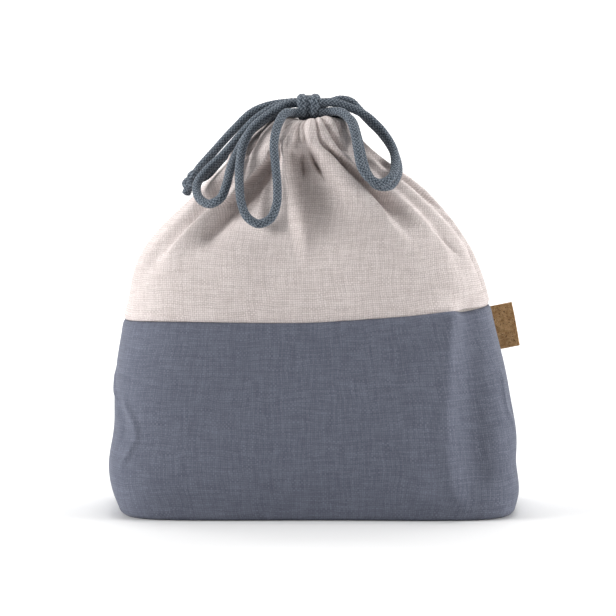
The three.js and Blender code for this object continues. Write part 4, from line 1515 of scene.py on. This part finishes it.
@dataclass
class Bow:
    """The tied strings: the knot, four loops, four tail strands and the two stopper knots.

    Each wrap of the knot has a place along it, a lean and a shrinkage in millimetres, and a widening. The
    strands of the bundle inside it are given by their places in depth and height, in millimetres.
    """

    cord: CordTube
    knot_middle: Point = (-0.0015, -0.0013, 0.2076)
    wrap_depth: float = 7.6 * MM
    wrap_height: float = 4.75 * MM
    wrap_lift: float = 0.3 * MM
    wrap_roundness: float = 0.72
    wrap_steps: int = 140
    wraps: tuple[tuple[float, float, float, float], ...] = (
        (-4.9, -0.3, 0.0, 1.15), (1.3, 0.4, 0.0, 1.15), (-1.8, 0.1, 0.75, 1.4), (5.0, 0.9, 2.4, 1.1),
    )
    bundle: tuple[Pair, ...] = ((-5.6, 1.6), (-1.4, 2.2), (3.2, 1.8), (-4.2, -2.4), (0.4, -2.6), (4.6, -2.2))
    bundle_half: float = 6.2
    bundle_step: float = 0.8 * MM
    root: float = 3.6 * MM
    left_stopper: Point = (-0.0638, 0.0069, 0.1702)
    right_stopper: Point = (0.0296, 0.0418, 0.1650)
    left_ends: Point = (-0.45, 0.0, -1.0)
    right_ends: Point = (0.5, 0.35, -1.0)
    stopper_grip: float = 0.7
    stopper_reach: float = 2.9 * MM
    stopper_shape: Point = (0.62, 0.72, 0.5)
    stopper_loop: float = 1.35
    stopper_steps: int = 170
    end_spacing: float = 2.4 * MM
    end_length: float = 8.0 * MM
    end_splay: float = 0.6 * MM
    bend_zone: float = 12 * MM
    bend_height: float = 0.21
    lip_tail_held: Point = (0.0, 0.006, 0.21)
    lip_tail_free: Point = (0.0, 0.02, 0.21)

    def _route(self, strand: Strand, stopper: Point | None = None) -> np.ndarray:
        """Gives a strand's line with its ends run a little way into what holds them.

        Args:
            strand: The strand.
            stopper: Middle of the knot that its far end is tied in, or None where it comes back to the bow.

        Returns:
            The line's points.
        """
        points = [tuple(np.array(p) + RIM_MIDDLE) for p in strand.route]
        inwards = math.copysign(self.root, -strand.route[0][0])
        points.insert(0, (points[0][0] + inwards, points[0][1], points[0][2]))
        if stopper is None:
            points.append((points[-1][0] + inwards, points[-1][1], points[-1][2]))
        else:
            grip = self.stopper_grip
            points.append(tuple((1 - grip) * np.array(points[-1]) + grip * np.array(stopper)))
        return smooth_line(points, self.cord.step)

    def knot(self) -> bpy.types.Object:
        """Builds the bow's knot: wraps side by side round the bundle of strands.

        Returns:
            The knot.
        """
        middle = np.array(self.knot_middle)
        runs = []
        turn = np.linspace(0, 2 * math.pi, self.wrap_steps)
        front, top = np.cos(turn), np.sin(turn)
        front = np.sign(front) * np.abs(front) ** self.wrap_roundness
        top = np.sign(top) * np.abs(top) ** self.wrap_roundness
        for place, lean, shrink, widen in self.wraps:
            line = np.stack([
                middle[0] + (place + lean * np.sin(turn)) * MM,
                middle[1] + (self.wrap_depth - shrink * MM) * front,
                middle[2] + (self.wrap_height - shrink * MM) * top + self.wrap_lift,
            ], axis=1)
            runs.append(self.cord.mesh(line, (1.0, 0.0, 0.0), widen))
        half = self.bundle_half
        for y, z in self.bundle:
            ends = [tuple(middle + np.array((x, y, z)) * MM) for x in (-half, 0.0, half)]
            runs.append(self.cord.mesh(smooth_line(ends, self.bundle_step)))
        return self.cord.piece("bow_knot_wraps", runs)

    def stopper(self, name: str, middle: Point, towards: Point, end: Point) -> bpy.types.Object:
        """Builds a stopper knot: the pair of strands tied into an overhand knot, with two cut ends.

        Args:
            name: Name of the piece.
            middle: Middle of the knot.
            towards: A point on the side from which the strands come.
            end: Direction in which the cut ends stand out.

        Returns:
            The knot.
        """
        centre = np.array(middle)
        axis = unit(np.array(towards) - centre)
        up = unit(np.cross(axis, (0.0, 1.0, 0.0)))
        deep = np.cross(axis, up)
        turn = np.linspace(0, 2 * math.pi, self.stopper_steps)
        along, aside, over = self.stopper_shape
        trefoil = (np.outer(np.sin(turn) + self.stopper_loop * np.sin(2 * turn), axis) * along
                   + np.outer(np.cos(turn) - self.stopper_loop * np.cos(2 * turn), deep) * aside
                   + np.outer(-np.sin(3 * turn), up) * over)
        runs = [self.cord.mesh(centre + self.stopper_reach * trefoil)]
        way = unit(np.array(end))
        for side in (-1, 1):
            foot = centre + deep * side * self.end_spacing
            tip = foot + way * self.end_length + deep * side * self.end_splay
            line = smooth_line([tuple(foot), tuple((foot + tip) / 2), tuple(tip)], self.cord.step)
            runs.append(self.cord.mesh(line))
        return self.cord.piece(name, runs)

    def _bend(self, strand: Strand) -> tuple[Point, Point]:
        """Gives where a strand's bend beside the knot starts and ends.

        Args:
            strand: The strand.

        Returns:
            A point beside the knot and a point further out along the strand.
        """
        if strand.body == "back_lip":
            return self.lip_tail_held, self.lip_tail_free
        face = strand.route[0][0]
        front = min(strand.route[0][1], strand.route[-1][1]) if strand in LOOPS else 0.0
        aside, ahead = (self.bend_zone * part for part in strand.way_out)
        start = (face, front, self.bend_height)
        return start, (face + math.copysign(aside, face), front - ahead, self.bend_height)

    def build(self, material: bpy.types.Material) -> None:
        """Builds and dresses the bow, and lets the knot and the stopper knots ride on their bodies.

        Args:
            material: The cord's finish.
        """
        knot = self.knot()
        dress(knot, material, "cord", "bag", "bow_knot")
        middles = {"left_tail": self.left_stopper, "back_lip": self.right_stopper}
        for word, strand, end in (("left", TAILS[0], self.left_ends), ("right", TAILS[2], self.right_ends)):
            towards = tuple(np.array(strand.route[-2]) + RIM_MIDDLE)
            piece = self.stopper(f"{word}_stopper", middles[strand.body], towards, end)
            dress(piece, material, "cord", strand.body, f"{word}_stopper_knot")
        for strand in LOOPS + TAILS:
            line = self._route(strand, middles.get(strand.body))
            piece = self.cord.piece(strand.name, [self.cord.mesh(line)])
            dress(piece, material, "cord", None, strand.node)
            start, end = self._bend(strand)
            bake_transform(piece)


@dataclass
class Drawstrings:
    """The two strings inside the casing, each in a front and a back half, with their leads to the knot.

    Sizes are in millimetres. A lead is given by distances from the middle of the bag and heights.
    """

    cord: CordTube
    form: BagForm
    inset: float = 6.4
    left_height: float = 197.35
    right_height: float = 189.65
    start_gap: float = 0.8
    corner: float = 4.5
    lead_offset: float = 3.05
    left_lead: tuple[Pair, ...] = ((4.6, 197.35),)
    right_lead: tuple[Pair, ...] = ((9.0, 190.6), (5.6, 194.4), (4.6, 200.0))
    casing_points: int = 9
    corner_points: int = 5

    def _route(self, side: int, exit_side: int, height: float, lead: Sequence[Pair]) -> np.ndarray:
        """Gives a half string's line round one side of the casing, out of its slit and in to the knot.

        Args:
            side: -1 for the front, 1 for the back.
            exit_side: -1 where it leaves at the left, 1 at the right.
            height: Its height in the casing, in millimetres.
            lead: Distances from the middle and heights of its lead, in millimetres.

        Returns:
            The line, in metres.
        """
        neck, rim = self.form.LEVELS[-2:]
        up = (height - neck.height) / (rim.height - neck.height)
        half_width = (neck.width + (rim.width - neck.width) * up) / 2 - self.inset
        half_depth = (neck.depth + (rim.depth - neck.depth) * up) / 2 - self.inset
        lean = neck.lean + (rim.lean - neck.lean) * up
        wide, deep = half_width - self.corner, half_depth - self.corner
        bearing = math.asin((self.lead_offset + self.corner) / deep)
        middle = np.array((wide * math.cos(bearing), deep * math.sin(bearing)))
        facing = math.atan2(math.sin(bearing) / deep, math.cos(bearing) / wide)
        leaving = middle + self.corner * np.array((math.cos(facing), math.sin(facing)))
        first = math.pi - math.asin(self.start_gap / half_depth)
        last = math.atan2(leaving[1] / half_depth, leaving[0] / half_width)
        swing = np.linspace(first, last, self.casing_points)
        plan = [(half_width * math.cos(a), half_depth * math.sin(a)) for a in swing]
        turn = np.linspace(facing, -math.pi / 2, self.corner_points)[1:]
        plan += [tuple(middle + self.corner * np.array((math.cos(a), math.sin(a)))) for a in turn]
        points = [(lean + exit_side * x, side * y, height) for x, y in plan]
        points += [(exit_side * x, side * self.lead_offset, z) for x, z in lead]
        return smooth_line(points, self.cord.step / MM) * MM

    def build(self, material: bpy.types.Material) -> None:
        """Builds and dresses the four half strings.

        Args:
            material: The cord's finish.
        """
        for word, exit_side, height, lead in (
            ("left", -1, self.left_height, self.left_lead),
            ("right", 1, self.right_height, self.right_lead),
        ):
            for half, side in (("front", -1), ("back", 1)):
                line = self._route(side, exit_side, height, lead)
                piece = self.cord.piece(f"{word}_string_{half}_half", [self.cord.mesh(line)])
                dress(piece, material, "cord", "bag" if side < 0 else None, f"{word}_string_{half}")
                if side > 0:
                    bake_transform(piece)


@dataclass
class SeamLabel:
    """The folded cork label: a strip doubled round, its two ends sewn into the right side seam."""

    height: float = 23 * MM
    reach: float = 9.4 * MM
    leaf: float = 0.85 * MM
    gap: float = 0.35 * MM
    lap: float = 2 * MM
    edge: float = 0.16 * MM
    fold_steps: int = 8
    cuts: int = 7
    root: Point = (0.0954026, 0.0, 0.0938)
    tilt: float = math.radians(11.5)

    # how the free edge waves: the axis it moves along, its size, its rate per metre of height and its phase
    WAVES = ((1, 0.35 * MM, 260.0, 0.6), (0, 0.25 * MM, 140.0, 1.0))

    def build(self, material: bpy.types.Material) -> None:
        """Models the label as a folded leaf and dresses it.

        Args:
            material: The cork's finish.
        """
        bpy.ops.object.select_all(action="DESELECT")
        bpy.ops.mesh.primitive_plane_add(size=1.0, location=(0, 0, 0), rotation=(math.pi / 2, 0, 0))
        piece = bpy.context.object
        piece.name = "folded_cork_label"
        bend = (self.gap + self.leaf) / 2
        flat = self.reach - bend
        piece.scale = (self.lap, self.height, 1)
        piece.location = (-self.lap / 2, -bend, 0)
        bpy.ops.object.transform_apply(location=True, rotation=True, scale=True)
        bpy.ops.object.mode_set(mode="EDIT")
        pick_edges(piece, lambda v: v.x > -self.lap / 4)
        bpy.ops.mesh.extrude_region_move(TRANSFORM_OT_translate={"value": (flat, 0, 0)})
        bpy.ops.mesh.spin(steps=self.fold_steps, angle=math.pi, center=(flat, 0, 0), axis=(0, 0, 1))
        bpy.ops.mesh.extrude_region_move(TRANSFORM_OT_translate={"value": (-flat - self.lap, 0, 0)})
        bpy.ops.mesh.select_all(action="SELECT")
        bpy.ops.mesh.remove_doubles(threshold=1e-6)
        bpy.ops.mesh.subdivide(number_cuts=self.cuts)
        bpy.ops.mesh.normals_make_consistent(inside=False)
        bpy.ops.object.mode_set(mode="OBJECT")
        apply_modifier(piece, "SOLIDIFY", thickness=self.leaf, offset=0.0)
        apply_modifier(piece, "BEVEL", width=self.edge, segments=2, limit_method="ANGLE")
        for vertex in piece.data.vertices:
            x, _, z = vertex.co
            for axis, size, rate, phase in self.WAVES:
                vertex.co[axis] += size * math.sin(rate * z + phase) * x / self.reach
        place = Matrix.Translation(Vector(self.root)) @ Matrix.Rotation(-self.tilt, 4, "Y")
        piece.data.transform(place)
        piece.data.polygons.foreach_set("use_smooth", np.ones(len(piece.data.polygons), bool))
        dress(piece, material, "cork", "label", "cork_label")


@dataclass(frozen=True)
class SoftLight:
    """A soft light: where it stands, the width and height of its face, its watts and the point it faces."""

    name: str
    place: Point
    size: Pair
    power: float
    towards: Point

    def add(self) -> None:
        """Adds the light to the scene."""
        data = bpy.data.lights.new(self.name, "AREA")
        data.shape = "RECTANGLE"
        data.size, data.size_y = self.size
        data.energy = self.power
        light = bpy.data.objects.new(self.name, data)
        light.location = self.place
        facing = Vector(self.towards) - Vector(self.place)
        light.rotation_euler = facing.to_track_quat("-Z", "Y").to_euler()
        bpy.context.scene.collection.objects.link(light)


BAG_MIDDLE: Point = (0.0, 0.0, 0.104)
LIGHTS = (
    SoftLight("left_softbox", (-1.5, -0.45, 0.62), (0.6, 0.7), 24.5, BAG_MIDDLE),
    SoftLight("right_softbox", (1.5, -0.25, 0.5), (0.5, 0.7), 18.5, BAG_MIDDLE),
    SoftLight("top_softbox", (0.05, 0.1, 1.6), (0.9, 0.7), 11.0, BAG_MIDDLE),
    SoftLight("backdrop_light", (0.0, 0.9, 1.9), (2.4, 0.6), 60.0, (0.0, 2.4, 0.6)),
)


@dataclass
class Studio:
    """The camera at the photograph's angle, a white sweep of paper and soft lights."""

    distance: float = 1.4
    elevation: float = math.radians(5)
    lens: float = 157.34
    sensor: float = 36.0
    shift: Pair = (-0.01136, -0.00083)
    sight: float = 30.0
    sweep: float = 2.4
    sweep_bend: float = 0.9
    paper_reach: float = 9.0
    glow: float = 0.04

    def camera(self) -> None:
        """Places the camera."""
        data = bpy.data.cameras.new("camera")
        data.lens = self.lens
        data.sensor_width = self.sensor
        data.shift_x, data.shift_y = self.shift
        data.clip_end = self.sight
        camera = bpy.data.objects.new("camera", data)
        back = Vector((0, -math.cos(self.elevation), math.sin(self.elevation)))
        camera.location = Vector(BAG_MIDDLE) + back * self.distance
        camera.rotation_euler = (-back).to_track_quat("-Z", "Y").to_euler()
        bpy.context.scene.collection.objects.link(camera)
        bpy.context.scene.camera = camera

    def paper(self) -> None:
        """Lays the paper under the bag and up behind it."""
        bpy.ops.object.select_all(action="DESELECT")
        middle = (0, self.sweep - self.paper_reach, 0)
        bpy.ops.mesh.primitive_plane_add(size=2 * self.paper_reach, location=middle)
        floor = bpy.context.object
        floor.name = "paper_sweep"
        bpy.ops.object.transform_apply(location=True, rotation=False, scale=False)
        bpy.ops.object.mode_set(mode="EDIT")
        pick_edges(floor, lambda v: v.y > 0)
        bpy.ops.mesh.extrude_region_move(TRANSFORM_OT_translate={"value": (0, 0, 2 * self.sweep)})
        bpy.ops.object.mode_set(mode="OBJECT")
        apply_modifier(floor, "BEVEL", width=self.sweep_bend, segments=16, limit_method="ANGLE")
        floor.data.polygons.foreach_set("use_smooth", np.ones(len(floor.data.polygons), bool))
        floor.data.materials.append(PAPER.material())

    def build(self) -> None:
        """Sets up the camera, the paper, the lights and the surrounding brightness."""
        self.camera()
        self.paper()
        for light in LIGHTS:
            light.add()
        world = bpy.data.worlds.new("studio")
        bpy.context.scene.world = world
        world.use_nodes = True
        world.node_tree.nodes.clear()
        white = (1.0, 1.0, 1.0, 1.0)
        sky = add_node(world.node_tree, "ShaderNodeBackground", {"Color": white, "Strength": self.glow})
        add_node(world.node_tree, "ShaderNodeOutputWorld", {"Surface": sky.outputs["Background"]})
        bpy.context.scene.view_settings.view_transform = "Standard"


def main() -> None:
    """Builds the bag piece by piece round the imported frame."""
    logging.basicConfig(level=logging.INFO, format="%(message)s")
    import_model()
    Studio().build()
    cord_finish = CORD_YARN.material()
    form = BagForm()
    cord = CordTube()
    Bow(cord).build(cord_finish)
    Drawstrings(cord, form).build(cord_finish)
    ClothBody(form, Drape(form)).build()
    SeamLabel().build(CORK.material())


if __name__ == "__main__":
    main()
